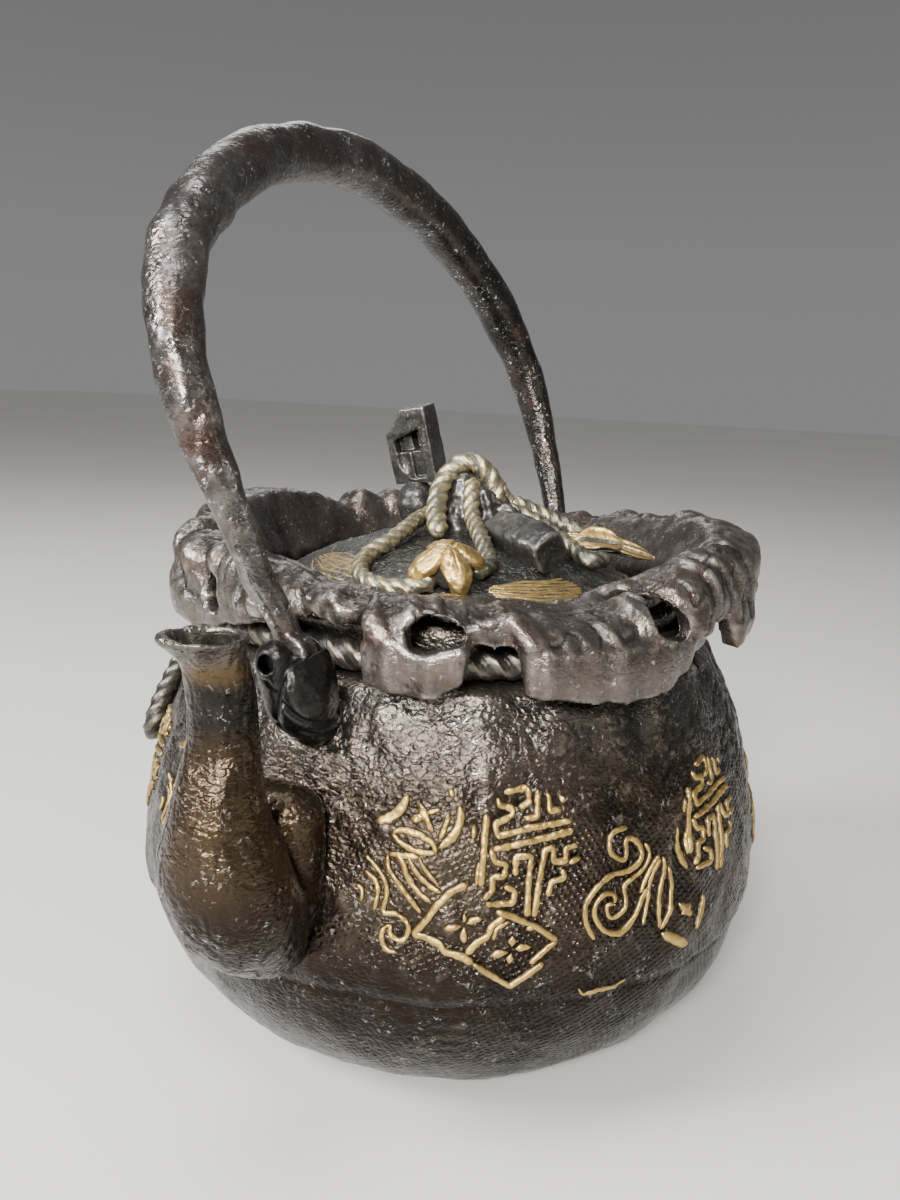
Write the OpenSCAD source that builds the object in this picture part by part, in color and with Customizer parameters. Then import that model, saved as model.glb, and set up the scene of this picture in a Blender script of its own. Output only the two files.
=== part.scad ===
// Cast-iron kettle in the form of a tied cloth pouch: hollow body, gathered mouth, spout,
// swinging bail handle and a lift-off lid whose knob is a bundle of cords, a bead and a toggle.
// Origin: centre of the resting face. +Z up, spout towards -X. Millimetres.

/* [Body] */
// Widest diameter of the body
body_d = 164; // [158:1:170]
// Diameter of the flat resting face
foot_d = 95; // [88:1:100]
// Height of the widest point
belly_z = 45; // [42:1:48]
// Height of the lid's seat
seat_z = 111.5; // [110.5:0.5:112.5]
// Thickness of the cast wall
wall = 3; // [2.5:0.25:3.5]
// Height of the casting seam
seam_z = 35; // [32:1:38]

/* [Mouth and lid] */
// Diameter of the mouth that the lid closes
mouth_d = 80; // [76:1:82]
// Diameter of the lid's plate
lid_d = 90.6; // [89:0.2:91]
// Height of the lid's dome above its rim
dome_rise = 12; // [11:0.5:13]

/* [Handle] */
// Distance of each pivot from the kettle's axis
pivot_x = 78; // [77.5:0.5:78.5]
// Height of the pivot axis
pivot_z = 107; // [106.5:0.5:107.5]
// Rise of the arch's centre line above the pivot axis
arch_rise = 121; // [116:1:126]
// Lean of the stored handle towards +Y
lean = 19.5; // [15:0.5:19.5]
// Thickness of the handle at the top
grip_d = 14; // [12:0.5:14.5]

/* [Cords] */
// Diameter of the cords on the lid
cord_d = 3.8; // [3.4:0.1:4]
// Diameter of the cord round the neck
neck_cord_d = 7; // [6:0.5:7.5]

/* [Hidden] */
INLAYS = ["inlay_fret_front", "inlay_fret_side", "inlay_fret_left", "inlay_fret_back",
          "inlay_scroll_front", "inlay_scroll_left", "inlay_scroll_back",
          "inlay_lozenges_front", "inlay_lozenges_back",
          "inlay_spiral_front", "inlay_spiral_right", "inlay_spiral_back"];

body_r = body_d / 2;
foot_r = foot_d / 2;
full_z = 108.5;     // height where the shoulder's curve would end
full_r = 61.8;      // and its radius there
curve = 1.8;        // power of both body curves
shoulder_z = 99;    // the shoulder gives way to the neck here
neck_r = 58;
neck_z = 101;
mouth_r = mouth_d / 2;
pour_z = 56;        // pour hole behind the spout
pour_r = 7;
cord_r = cord_d / 2;
pin_r = 2;
pin_gap = 0.06;
eye_r = 4.6;
eye_t = 6;
steps = 24;
iron = "#3b3430";
dark = "#2a2726";
gilt = "#c9a45a";
bronze = "#57544a";

// ---- general helpers ----
function unit(v) = v / norm(v);
function mix(a, b, t) = a + (b - a) * t;
function at(list, i) = list[max(0, min(len(list) - 1, i))];
function spline_point(a, b, c, d, t) =
    0.5 * (2 * b + (c - a) * t + (2 * a - 5 * b + 4 * c - d) * t * t + (3 * b - a - 3 * c + d) * t * t * t);
// Catmull-Rom curve through points, n steps to each stretch
function spline(p, n) =
    [for (i = [0 : len(p) - 2], k = [0 : n - 1 + (i == len(p) - 2 ? 1 : 0)])
        spline_point(at(p, i - 1), p[i], p[i + 1], at(p, i + 2), k / n)];
// The same for a closed table of values spread evenly over 360 degrees
function around(table, a) =
    let (n = len(table), x = (a % 360) / 360 * n, i = floor(x))
    spline_point(table[(i - 1 + n) % n], table[i % n], table[(i + 1) % n], table[(i + 2) % n], x - i);
function tangent(p, i) = unit(at(p, i + 1) - at(p, i - 1));
function ring(c, t, up, rs, rn, sides) =
    let (s = unit(cross(t, up)), n = cross(t, s))
    [for (k = [0 : sides - 1]) c + rs * cos(360 * k / sides) * s + rn * sin(360 * k / sides) * n];

// Solid skin over rings of equal length, closed with flat ends
module skin(rings) {
    n = len(rings[0]);
    m = len(rings);
    polyhedron(
        points = [for (r = rings, p = r) p],
        faces = concat(
            [[for (k = [0 : n - 1]) k]],
            [[for (k = [n - 1 : -1 : 0]) (m - 1) * n + k]],
            [for (i = [0 : m - 2], k = [0 : n - 1]) let (a = i * n + k, b = i * n + (k + 1) % n) [a, a + n, b]],
            [for (i = [0 : m - 2], k = [0 : n - 1]) let (a = i * n + k, b = i * n + (k + 1) % n) [b, a + n, b + n]]));
}

// Round bar of varying radius along a path
module bar(path, radii, sides = 12, up = [0, 0, 1], squash = 1) {
    skin([for (i = [0 : len(path) - 1])
        ring(path[i], tangent(path, i), up, at(radii, i), at(radii, i) * squash, sides)]);
}

// ---- body ----
function lower_r(z) = foot_r + (body_r - foot_r) * pow(1 - pow(1 - z / belly_z, curve), 1 / curve);
function upper_r(z) = body_r - (body_r - full_r) * pow((z - belly_z) / (full_z - belly_z), curve);
function body_r_at(z) = z < belly_z ? lower_r(z) : upper_r(z);
function body_point(a, z, h) = let (r = body_r_at(z) + h) [r * cos(a), r * sin(a), z];

function outer_profile() = concat(
    [[foot_r, 0]],
    [for (z = [1.5, 4, 7, 11, 15, 20, 25, 30]) [lower_r(z), z]],
    [[lower_r(seam_z) - 0.5, seam_z], [lower_r(seam_z) + 0.1, seam_z + 0.6]],
    [for (z = [39.5 : 5.5 : shoulder_z]) [body_r_at(z), z]],
    [[upper_r(shoulder_z), shoulder_z], [64, 100.2], [neck_r, neck_z], [neck_r, seat_z]]);

module body_solid() {
    rotate_extrude($fn = 180)
        polygon(concat([[0, 0]], outer_profile(), [[0, seat_z]]));
}

module cavity() {
    rotate_extrude($fn = 180)
        polygon(concat(
            [[0, wall + 0.5], [foot_r - 2, wall + 0.5]],
            [for (z = [7, 11, 16, 22, 30, 38, 45, 54, 63, 72, 81, 90, 95]) [body_r_at(z) - wall, z]],
            [[neck_r + 3, 97.2], [neck_r - wall, 98.5], [neck_r - wall, 103], [mouth_r + 7, 107],
             [mouth_r, seat_z - 4], [mouth_r, seat_z + 1], [0, seat_z + 1]]));
}

module vessel() {
    color(iron)
        difference() {
            body_solid();
            cavity();
            translate([-body_r + 6, 0, pour_z])
                rotate([0, -90, 0])
                    cylinder(r = pour_r, h = 14, $fn = 48);
        }
}

// Outside of the spout from its lower end to its lip: x, z and radius; then the same for its bore
SPOUT = [[-84, 40, 3], [-88.5, 43.5, 8], [-93.5, 51, 12.4], [-97, 60, 14.2], [-100.5, 70, 12.9], [-102, 79, 10.3],
         [-102, 87, 8.4], [-101, 95, 7.1], [-101.5, 103, 6.6], [-103.5, 110, 6.2], [-105.8, 114, 7], [-107.2, 116.3, 8.5]];
BORE = [[-93, 47.5, 8.5], [-95, 54, 11], [-97.5, 62, 12], [-100.5, 71, 10.6], [-102, 79, 8.4], [-102, 87, 6.7],
        [-101, 95, 5.5], [-101.5, 103, 5], [-103.3, 110, 4.7], [-105.2, 114, 5.6], [-106.8, 116.5, 6.9]];

module tube(table, sides) {
    skin([for (p = spline(table, 2)) ring([p[0], 0, p[1]], [0, 0, 1], [1, 0, 0], p[2], p[2], sides)]);
}

// Rounded pad on the body that the spout springs from
module spout_pad() {
    hull() {
        for (s = [-1, 1]) {
            translate([-83, 3.5 * s, 74]) sphere(r = 7, $fn = 20);
            translate([-84, 3 * s, 58]) sphere(r = 8.5, $fn = 20);
        }
        translate([-84, 0, 51]) sphere(r = 8.5, $fn = 20);
    }
}

module spout() {
    color(iron)
        difference() {
            union() {
                tube(SPOUT, 24);
                spout_pad();
            }
            tube(BORE, 20);
            translate([-106, 0, pour_z])
                rotate([0, 90, 0])
                    cylinder(r = pour_r, h = 30, $fn = 48);
            body_solid();
        }
}

// ---- gathered mouth: angle, crest height, crest radius, hem radius, hem height ----
CUFF = [[0, 125, 62, 70, 106], [12, 127, 63, 75, 103], [25, 128, 62, 76, 101], [38, 128, 64, 72, 106],
        [48, 129.5, 63, 74, 103], [58, 130, 62, 75, 100], [65, 126, 62, 71, 106], [74, 129, 61, 70, 108],
        [84, 131, 62, 72, 106], [100, 131, 62, 74, 104], [114, 129.5, 63, 74, 106], [124, 128, 64, 75, 102],
        [135, 126, 65, 75.5, 104], [146, 125, 64, 71, 103], [156, 123, 62, 70, 107], [168, 121, 61, 69, 110],
        [178, 119.5, 62, 69, 114], [188.5, 119, 63, 70, 114], [191, 119, 64, 75, 101], [196, 118.5, 64, 76, 100.5],
        [202, 119, 64, 76, 100], [206.5, 119, 64, 76, 102.5], [208.5, 119, 64, 74, 111], [215.5, 118, 64, 74, 111],
        [217.5, 117.8, 64, 76, 101], [226, 117, 64, 76.5, 98.5], [232, 116.8, 64, 76.5, 98.5], [239, 119, 64, 76, 98.5],
        [244, 120.8, 64, 76, 99.5], [248, 122.3, 64, 75.5, 102], [253, 125, 65, 75, 107], [258, 126.5, 65.5, 74, 112],
        [265, 128.5, 66, 74.5, 112], [270, 129.5, 67, 76.5, 104],
        [281, 130, 67, 77, 107], [289, 130.5, 66, 75, 110], [300, 131, 64, 73, 107], [310, 130.5, 64, 75, 104],
        [320, 129, 63, 73, 108], [330, 127.5, 63, 75, 103], [345, 126, 62, 74, 105]];
cuff_t = 4.2;

// Eased step from one row to the next, so folds have round bottoms and tops
function cuff_row(i, t) = mix(CUFF[i], i == len(CUFF) - 1 ? CUFF[0] + [360, 0, 0, 0, 0] : CUFF[i + 1], t);
function eased(i, t) = let (e = cuff_row(i, 0.5 - 0.5 * cos(180 * t))) [cuff_row(i, t)[0], e[1], e[2], e[3], e[4]];
function gap_after(i) = cuff_row(i, 1)[0] - CUFF[i][0];
function cuff_rows() =
    [for (i = [0 : len(CUFF) - 1], k = [0 : round(gap_after(i) / 3)])
        if (k < max(1, round(gap_after(i) / 3))) eased(i, k / max(1, round(gap_after(i) / 3)))];

function cuff_line(row) =
    let (cz = row[1] - 1, cr = row[2], er = row[3] - cuff_t / 2, ez = row[4] + 0.5)
    [[52.5, seat_z], [52.5, min(115, cz - 3)], [54.5, min(118.5, cz - 1.8)], [cr - 3.5, cz - 2.4], [cr, cz - 0.6],
     [mix(cr, er, 0.55) + 1.5, cz - 2.5], [er - 0.5, mix(cz, ez, 0.4)], [er, mix(cz, ez, 0.72)], [er - 1, ez]];
function cuff_side(line, s) =
    [for (i = [0 : len(line) - 1]) let (t = tangent(line, i)) line[i] + s * cuff_t / 2 * [-t[1], t[0]]];
function cuff_section(row) =
    let (line = cuff_line(row), up = cuff_side(line, 1), down = cuff_side(line, -1), a = row[0])
    [for (p = concat(down, [for (i = [len(up) - 1 : -1 : 0]) up[i]])) [p[0] * cos(a), p[0] * sin(a), p[1]]];

// Holes through the cuff: angle, height, half width, half height
PIERCED = [[201.5, 113.3, 5.2, 4], [244, 115, 4.6, 4.2], [150, 113, 4, 4], [122, 116, 5, 4.5], [94, 115, 4.5, 4],
           [48, 113, 5, 4], [22, 112, 5, 4.5], [350, 112, 4, 5], [325, 115, 5, 4.5], [297, 117, 5, 4]];

module hole_through_cuff(h) {
    rotate([0, 0, h[0]])
        translate([57, 0, h[1]])
            rotate([0, 90, 0])
                hull()
                    for (s = [-1, 1])
                        translate([0, s * (h[2] - min(h[2], h[3])), 0])
                            cylinder(r = min(h[2], h[3]), h = 30, $fn = 24);
}

module gathered_mouth() {
    rings = [for (row = cuff_rows()) cuff_section(row)];
    n = len(rings[0]);
    m = len(rings);
    color(iron)
        difference() {
            polyhedron(
                points = [for (r = rings, p = r) p],
                faces = concat(
                    [for (i = [0 : m - 1], k = [0 : n - 1])
                        let (j = (i + 1) % m, l = (k + 1) % n) [i * n + k, i * n + l, j * n + k]],
                    [for (i = [0 : m - 1], k = [0 : n - 1])
                        let (j = (i + 1) % m, l = (k + 1) % n) [i * n + l, j * n + l, j * n + k]]));
            for (h = PIERCED)
                hole_through_cuff(h);
        }
}

// ---- cord round the neck and its bow on the +Y side ----
neck_cord_r = neck_cord_d / 2;
module neck_cord() {
    color(bronze)
        translate([0, 0, neck_z + 3.6])
            rotate_extrude($fn = 180)
                translate([neck_r + neck_cord_r, 0])
                    circle(r = neck_cord_r, $fn = 32);
}

module bow_knot() {
    color(bronze)
        difference() {
            translate(body_point(90, 97, 2.5))
                rotate([20, 0, 0])
                    rotate_extrude($fn = 48)
                        polygon([for (i = [0 : 12]) [max(0, 6 * sin(15 * i)), -5 * cos(15 * i)]]);
            body_solid();
        }
}

// One loop of the bow: angle and height of points on the body, then mirrored
BOW_LOOP = [[91, 97, 4], [98, 96, 4.5], [107, 89, 4], [115, 79, 3.6], [119, 71.5, 3.6], [117, 66.5, 3.6],
            [112, 69, 3.6], [107, 79, 3.6], [100, 90, 3.8], [93, 95, 4]];
BOW_TAIL = [[92, 93, 3.5], [96, 84, 3.5], [95, 72, 3.4], [98, 60, 3.4], [96, 50, 3.4]];
function on_body(list, s) = [for (p = spline(list, 3)) body_point(90 + s * (p[0] - 90), p[1], p[2])];

module bow_loops() {
    color(bronze)
        for (s = [-1, 1])
            bar(on_body(BOW_LOOP, s), [2.8], 8, [0, 1, 0.1]);
}

module bow_tails() {
    color(bronze)
        for (s = [-1, 1])
            bar(on_body(BOW_TAIL, s), [2.6, 2.6, 2.6, 2.6, 2.6, 2.6, 2.6, 2.6, 2.6, 3, 3.6, 4, 3.4], 8, [0, 1, 0.1]);
}

// ---- lugs and pins; the front pair is drawn and the rear pair is its mirror image ----
slot_gap = 0.5;

module lug() {
    slot_x = pivot_x + eye_t / 2 + slot_gap;
    difference() {
        hull() {
            translate([-84, 0, 107])
                sphere(r = 4.5, $fn = 20);
            translate([-76, 0, 104])
                rotate([0, 90, 0])
                    cylinder(r = 8, h = 3, center = true, $fn = 48);
            translate([-80, -2.5, 98.5])
                sphere(r = 7, $fn = 24);
            translate([-72, -1.5, 92])
                sphere(r = 6, $fn = 20);
        }
        translate([-slot_x, 0, pivot_z])
            rotate([0, 90, 0])
                cylinder(r = eye_r + 0.6, h = eye_t + 2 * slot_gap, $fn = 48);
        translate([-slot_x + eye_t + 2 * slot_gap, 0, pivot_z])
            rotate([0, -90, 0])
                linear_extrude(height = eye_t + 2 * slot_gap)
                    polygon([[0, -5.2], [20, -5.2 - 20 * tan(22)], [20, 5.2 + 20 * tan(22)], [0, 5.2]]);
        translate([-74.5, 0, pivot_z + 1])
            rotate([0, -90, 0])
                linear_extrude(height = 9.5)
                    polygon([[0, -5.6], [20, -5.6 - 20 * tan(22)], [20, 5.6 + 20 * tan(22)], [0, 5.6]]);
        body_solid();
        translate([-86.5, 0, pivot_z])
            rotate([0, 90, 0])
                cylinder(r = pin_r, h = 16, $fn = 48);
    }
}

module pivot_pin() {
    translate([-86, 0, pivot_z])
        rotate([0, 90, 0])
            cylinder(r = pin_r, h = 12.5, $fn = 48);
}

module front_lug() {
    color(dark) lug();
}

module rear_lug() {
    color(dark) mirror([1, 0, 0]) lug();
}

module front_pivot_pin() {
    color(dark) pivot_pin();
}

module rear_pivot_pin() {
    color(dark) mirror([1, 0, 0]) pivot_pin();
}

// ---- handle: half of the arch as shares of pivot distance, rise and grip thickness ----
ARCH = [[1, 0, 0.41], [1.002, 0.04, 0.42], [1.025, 0.09, 0.445], [1.07, 0.18, 0.505], [1.12, 0.34, 0.63],
        [1.135, 0.47, 0.74], [1.11, 0.58, 0.825], [1.055, 0.665, 0.88], [0.97, 0.745, 0.92],
        [0.73, 0.87, 0.96], [0.45, 0.953, 0.985], [0, 1, 1]];

module handle() {
    half = [for (p = ARCH) [-p[0], p[1], p[2]]];
    other = [for (i = [len(ARCH) - 2 : -1 : 0]) ARCH[i]];
    line = spline(concat(half, other), 2);
    path = [for (p = line) [p[0] * pivot_x, 0, p[1] * arch_rise]];
    color(iron)
        translate([0, 0, pivot_z])
            rotate([-lean, 0, 0])
                difference() {
                    union() {
                        bar(path, [for (p = line) p[2] * grip_d / 2], 16, [0, 1, 0]);
                        for (s = [-1, 1])
                            translate([s * pivot_x, 0, 0])
                                rotate([0, 90, 0])
                                    cylinder(r = eye_r, h = eye_t, center = true, $fn = 48);
                    }
                    for (s = [-1, 1])
                        translate([s * pivot_x, 0, 0])
                            rotate([0, 90, 0])
                                cylinder(r = pin_r + pin_gap, h = eye_t + 4, center = true, $fn = 48);
                }
}

// ---- lid ----
lid_r = lid_d / 2;
rim_z = seat_z + 3;
lid_t = 3;
skirt_r = mouth_r - 0.4;
function dome_z(r) = rim_z + dome_rise * (1 - pow(r / lid_r, 2));
function dome_point(x, y, h) = [x, y, dome_z(norm([x, y])) + h];

module lid_plate() {
    color(bronze)
        difference() {
            rotate_extrude($fn = 180)
                polygon(concat(
                    [[0, dome_z(0) - lid_t]],
                    [for (r = [6 : 6 : 36]) [r, dome_z(r) - lid_t]],
                    [[mouth_r, dome_z(mouth_r) - lid_t], [mouth_r, seat_z], [lid_r - 0.8, seat_z], [lid_r, seat_z + 0.8]],
                    [for (r = [lid_r : -4.5 : 1]) [r, dome_z(r)]],
                    [[0, dome_z(0)]]));
            for (p = [[0, 0], BEAD])
                translate([p[0], p[1], seat_z])
                    cylinder(r = 2.5, h = 20, $fn = 48);
        }
}

module lid_skirt() {
    color(bronze)
        rotate_extrude($fn = 180)
            polygon([[skirt_r - 2.4, seat_z - 6], [skirt_r, seat_z - 6], [skirt_r, seat_z + 1.2],
                     [skirt_r - 2.4, seat_z + 1.9]]);
}

module under_dome() {
    rotate_extrude($fn = 180)
        polygon(concat([[0, seat_z]], [[lid_r, seat_z]], [for (r = [lid_r : -4.5 : 1]) [r, dome_z(r)]], [[0, dome_z(0)]]));
}

module knob_peak() {
    color(dark)
        difference() {
            hull() {
                translate([0, 0, 138]) sphere(r = 3.2, $fn = 24);
                translate([0, 0, 126.5]) sphere(r = 7, $fn = 32);
                translate([7, -14, 126.5]) sphere(r = 4.5, $fn = 24);
            }
            under_dome();
            knob_stud();
        }
}

module stud_through(x, y, top) {
    foot = dome_z(norm([x, y])) - lid_t - 3.2;
    translate([x, y, foot])
        cylinder(r = 2.5, h = top - foot, $fn = 48);
}

module knob_stud() {
    color(dark) stud_through(0, 0, 132);
}

module knob_rivet() {
    color(dark)
        for (p = [[0, 0], BEAD])
            translate([p[0], p[1], dome_z(norm([p[0], p[1]])) - lid_t - 2.4])
                rotate_extrude($fn = 48)
                    polygon([[2.5, 0], [4.2, 0.3], [5, 1.2], [5, 2.4], [2.5, 2.4]]);
}

// Cord routes over the lid: x, y and height above the dome
LEFT_LOOP = [[2, 7, 4.5], [-8, 7.5, 3.6], [-24, 7, 2.6], [-33, 9.5, 2.2], [-40, 7.5, 2.2], [-44.5, 2, 2.6],
             [-45.5, -5, 3], [-43.5, -10, 3], [-40, -13, 3.4]];
FRONT_STRAND = [[-1, -3, 13], [-4, -4, 9.5], [-9, -7, 4.6], [-20, -15.5, 2.6], [-27, -20.5, 2.2], [-34, -19.5, 3]];
CROWN_FRONT = [[-20, -3, 2.6], [-12, 2, 5.6], [-5, 4.5, 11], [-1, 2.5, 15.8], [1.5, -2, 17], [3.5, -6, 13], [3.5, -9, 6]];
CROWN_BACK = [[4, 8, 4.5], [4, 5, 10.5], [5, 1.5, 15.4], [6, -3, 15.2], [7.5, -7, 10], [7, -11, 5.5]];
RIGHT_LOW = [[4, -10, 6], [6, -15, 5.4], [5.5, -22, 3.8], [2, -30, 2.8], [-2, -36.5, 3], [4, -40, 4.8]];
RIGHT_HIGH = [[7, -10, 8], [12, -17, 6.5], [13.5, -24, 5.8], [11.5, -31.5, 5]];
function on_dome(list) = [for (p = spline(list, 4)) dome_point(p[0], p[1], p[2])];

module cord(list, up = [0.3, 0.2, 1]) {
    color(gilt) bar(on_dome(list), [cord_r], 8, up);
}

module cord_left_loop() {
    cord(LEFT_LOOP);
}

module cord_crown_front() {
    cord(CROWN_FRONT, [1, 0.3, 0.1]);
}

module cord_crown_back() {
    cord(CROWN_BACK, [1, 0.1, 0.1]);
}

module cord_front_strand() {
    cord(FRONT_STRAND, [0.6, -0.8, 0.3]);
}

module cord_right_strands() {
    cord(RIGHT_LOW);
    cord(RIGHT_HIGH);
}

// Four-lobed bud: height and share of its spread for each level
BUD = [[-3, 0.4], [-1.2, 0.86], [0.6, 1], [2.2, 0.8], [3.6, 0.45], [4.6, 0.12]];
module gilt_bud() {
    color(gilt)
        translate([-37, -14.5, 121.6])
            rotate([10, -16, 10])
                skin([for (l = BUD) [for (k = [0 : 31])
                    let (a = 360 * k / 32, r = l[1] * (7 + 2.4 * cos(4 * a) * min(1, l[1] * 1.2)))
                    [r * cos(a), r * sin(a), l[0] + (l[1] > 0.5 ? 0.6 : 0) * cos(4 * a)]]]);
}

module leaf(length, width, thick) {
    hull() {
        translate([-length / 2, 0, 0]) sphere(r = 0.7, $fn = 16);
        cylinder(r = width / 2, h = thick, center = true, $fn = 32);
        translate([length / 2, 0, 0]) sphere(r = 0.7, $fn = 16);
    }
}

module gilt_leaf_round() {
    color(gilt)
        translate([7, -37, 124.2])
            rotate([30, 4, -62])
                leaf(13, 8.5, 1.6);
}

module gilt_leaf_long() {
    color(gilt)
        translate([11.5, -37, 123.6])
            rotate([25, 12, -67])
                leaf(23, 7, 2.2);
}

module barrel_toggle() {
    color(dark)
        difference() {
            translate([-12.8, -23, 126.6])
                rotate([0, 0, -116])
                    rotate([0, 100, 0])
                        rotate_extrude($fn = 48)
                            polygon([[0, -10.5], [4.2, -10.5], [5.3, -5], [5.6, 0], [5.5, 6], [4.9, 10],
                                     [4.2, 10.5], [0, 10.5]]);
            under_dome();
        }
}

// Bead and the box toggle that stands on it
BEAD = [13, 21];
bead_z = 130;
module bead() {
    color(dark)
        translate([BEAD[0], BEAD[1], bead_z])
            rotate_extrude($fn = 64)
                polygon([for (i = [0 : 18]) [max(0, 5.6 * sin(10 * i)), -7 * cos(10 * i)]]);
}

module bead_pin() {
    color(dark) stud_through(BEAD[0], BEAD[1], bead_z);
}

module box_toggle() {
    color(dark)
        translate([12, 22, 146.6])
            rotate([-9, -12, -2])
                difference() {
                    cube([7, 14, 21], center = true);
                    // sloped corner
                    rotate([90, 0, 90])
                        linear_extrude(height = 9, center = true)
                            polygon([[0.8, 10.6], [4.2, 6.2], [7.2, 4.2], [8, 4.2], [8, 12], [0.8, 12]]);
                    // chamber in the wide face, and the shallow trough under it
                    translate([-2.6, 0, 0])
                        rotate([90, 0, 90])
                            linear_extrude(height = 4, center = true)
                                polygon([[4.4, -1.5], [4.4, 2], [-4, 4.8], [-4, -1.5]]);
                    translate([-4, 0, -5])
                        cube([2.4, 7.6, 7.4], center = true);
                }
}

// ---- gilt inlay: strokes in millimetres round a centre, u along the girth and v up ----
inlay_h = 0.5;
inlay_in = 0.5;
function inlay_point(a, z, u, v, h) = body_point(a + u / body_r * 180 / PI, z + v, h);

// A stroke of width w; taper 0 to 1 thins both ends
module stroke(a, z, pts, w, taper = 0) {
    last = len(pts) - 1;
    skin([for (i = [0 : last])
        let (t = tangent(pts, i), share = 1 - taper * pow(2 * i / last - 1, 2),
             s = [-t[1], t[0]] * w * share / 2, p = pts[i] - s, q = pts[i] + s)
        [inlay_point(a, z, p[0], p[1], -inlay_in), inlay_point(a, z, q[0], q[1], -inlay_in),
         inlay_point(a, z, q[0], q[1], inlay_h), inlay_point(a, z, p[0], p[1], inlay_h)]]);
}

// Key fret: bars and hooks on a slanted grid, filling a round field
FRET = [[[-11, 10], [-11, -8]], [[-9, 9], [-9, -6.5]], [[-7, 11], [-4.3, 11], [-4.5, 6.8]], [[-7.5, 8.5], [-5.6, 8.6]],
        [[-1.5, 12], [-1.8, 8], [1.3, 8.2], [1.6, 13]], [[4, 12.4], [3.7, 9]], [[6.4, 12], [6.2, 9]], [[8.8, 11], [8.7, 9.2]],
        [[-7.5, 4.8], [10, 7]], [[-7.5, 2.5], [10.5, 4.7]], [[-7.5, 0.3], [10, 2.4]],
        [[-7, -1.2], [-7, -3.4], [-5, -3.4]], [[-3.4, -1], [-3.6, -5.6], [-7.4, -5.8], [-8.4, -8.8], [-11, -9.2]],
        [[-1.4, -0.8], [-1.8, -6.5]], [[0.7, -0.6], [-0.6, -11]], [[3.1, -0.4], [2, -12.5]],
        [[5.6, -0.2], [5.8, -2.4], [8.6, -2.2], [9, 0], [11.4, 0.4]], [[4.6, -6], [7.2, -6], [7.6, -3.9], [10.6, -3.4]],
        [[4.4, -9.2], [6.8, -8.8]], [[-6.4, -8], [-3.4, -8], [-3.9, -10.6], [-8.6, -11]]];

// Flying ribbons with a curl below and a flower above: points, width, taper
SCROLL = [[[[-12.5, 3], [-11.2, 2], [-11, -1]], 1.4, 0.5], [[[-11, 8.5], [-9.5, 5.5], [-7.2, 3], [-6.6, 0.5], [-7.5, -2.5]], 1.2, 0.5],
          [[[-9.6, 9.3], [-7, 6.5], [-5, 3.2], [-4.4, -1.4]], 1.2, 0.4],
          [[[-5, -3], [-2, -2.4], [0, -4], [0.4, -6.8], [-1.8, -8.4], [-3.5, -7.4], [-3.3, -5.4]], 1.2, 0.2],
          [[[-6.3, -4], [-6.6, -6.5], [-5.4, -9], [-3.6, -10.3], [-1.2, -10.4]], 1.2, 0.4],
          [[[-6, 9.6], [-4.5, 6.4], [-2, 2.5], [3, -2]], 1.2, 0], [[[-4, 9.6], [-2, 6.3], [1.2, 3], [4.8, -0.4]], 1.2, 0],
          [[[-1.8, 9.3], [1.6, 6], [6.4, 1.5]], 1.2, 0], [[[0.6, 9.3], [3.2, 7.2], [7, 4]], 1.2, 0],
          [[[-9, 15.2], [-6.5, 16.6], [-4, 18.4], [-1, 21.5]], 3, 0.7], [[[-2, 16.6], [1, 17], [3.6, 14.6]], 2.4, 0.5],
          [[[1, 19.6], [3.6, 19.4], [5.2, 16.8]], 2, 0.5], [[[9, 23], [10.4, 20], [9.8, 16], [7.6, 13.2], [5, 12]], 3.4, 0.7],
          [[[-5.4, 14], [-2, 12.2], [2, 11], [6, 9.8]], 2, 0.6]];

// Curls and a fan of leaves: points, width, taper
SPIRAL = [[[[3.5, 12.5], [-0.8, 11], [-2.4, 8], [-0.5, 5.2], [2.2, 5], [3, 6.6]], 1.4, 0.2],
          [[[4, 8.8], [6.4, 6.8], [6.7, 3.5], [4.4, 1], [-1, 0], [-5.4, -1.2], [-8, -4.5], [-8.4, -8], [-5.6, -12]], 1.3, 0.3],
          [[[8.8, 7.4], [9.2, 3], [6.2, -0.6], [1.6, -2]], 1.2, 0.4],
          [[[-2, -4.4], [0, -3.6], [1.7, -5], [0.8, -6.8], [-1.8, -7.4], [-4, -5.4], [-3.8, -3]], 1.2, 0.2],
          [[[-5.8, -3.2], [-5.8, -6.5], [-2.8, -9.8], [1, -10.2], [4.5, -8], [7, -4.4], [9.3, 0], [12.4, 4.4]], 1.3, 0.3],
          [[[14, 2.8], [10.2, -1.5], [6.4, -9.6]], 1.4, 0.5], [[[15.4, 1.4], [12.2, -4.5], [9, -10.5]], 1.4, 0.5],
          [[[17, 1], [14.4, -6.5], [11.6, -12.3]], 1.6, 0.5], [[[17.6, -5], [16.4, -9.5], [14, -12.6]], 1.4, 0.5],
          [[[17.4, 10], [19.2, 4.6], [21.4, -1]], 2, 0.6], [[[20.2, -8], [20.4, -10.2], [20.6, -12.2]], 3.2, 0.6],
          [[[26, -7], [27, -12], [23.8, -16]], 1.8, 0.6], [[[12, -14.6], [16.5, -17], [21, -18.2]], 2.6, 0.6]];

// Two lozenges side by side, and the middles of their flowers
LOZENGES = [[[-15.5, 3.2], [-10, 8.6], [-4.4, 12.8]], [[-14.4, 1.8], [-3.4, -1.8], [4.8, -7.8]],
            [[6.4, -7.6], [11.5, -3.6], [15.4, 1]], [[7, 8], [11.2, 5], [14.6, 2.2]], [[-2, 0.2], [1.6, 4], [5, 7.4]]];
FLOWERS = [[-5.2, 5.4], [6, 0.8]];

module fret(a, z) {
    color(gilt)
        for (s = FRET)
            stroke(a, z, s, 1.25);
}

module ribbons(a, z, list) {
    color(gilt)
        for (s = list)
            stroke(a, z, spline(s[0], 2), s[1], s[2]);
}

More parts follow.
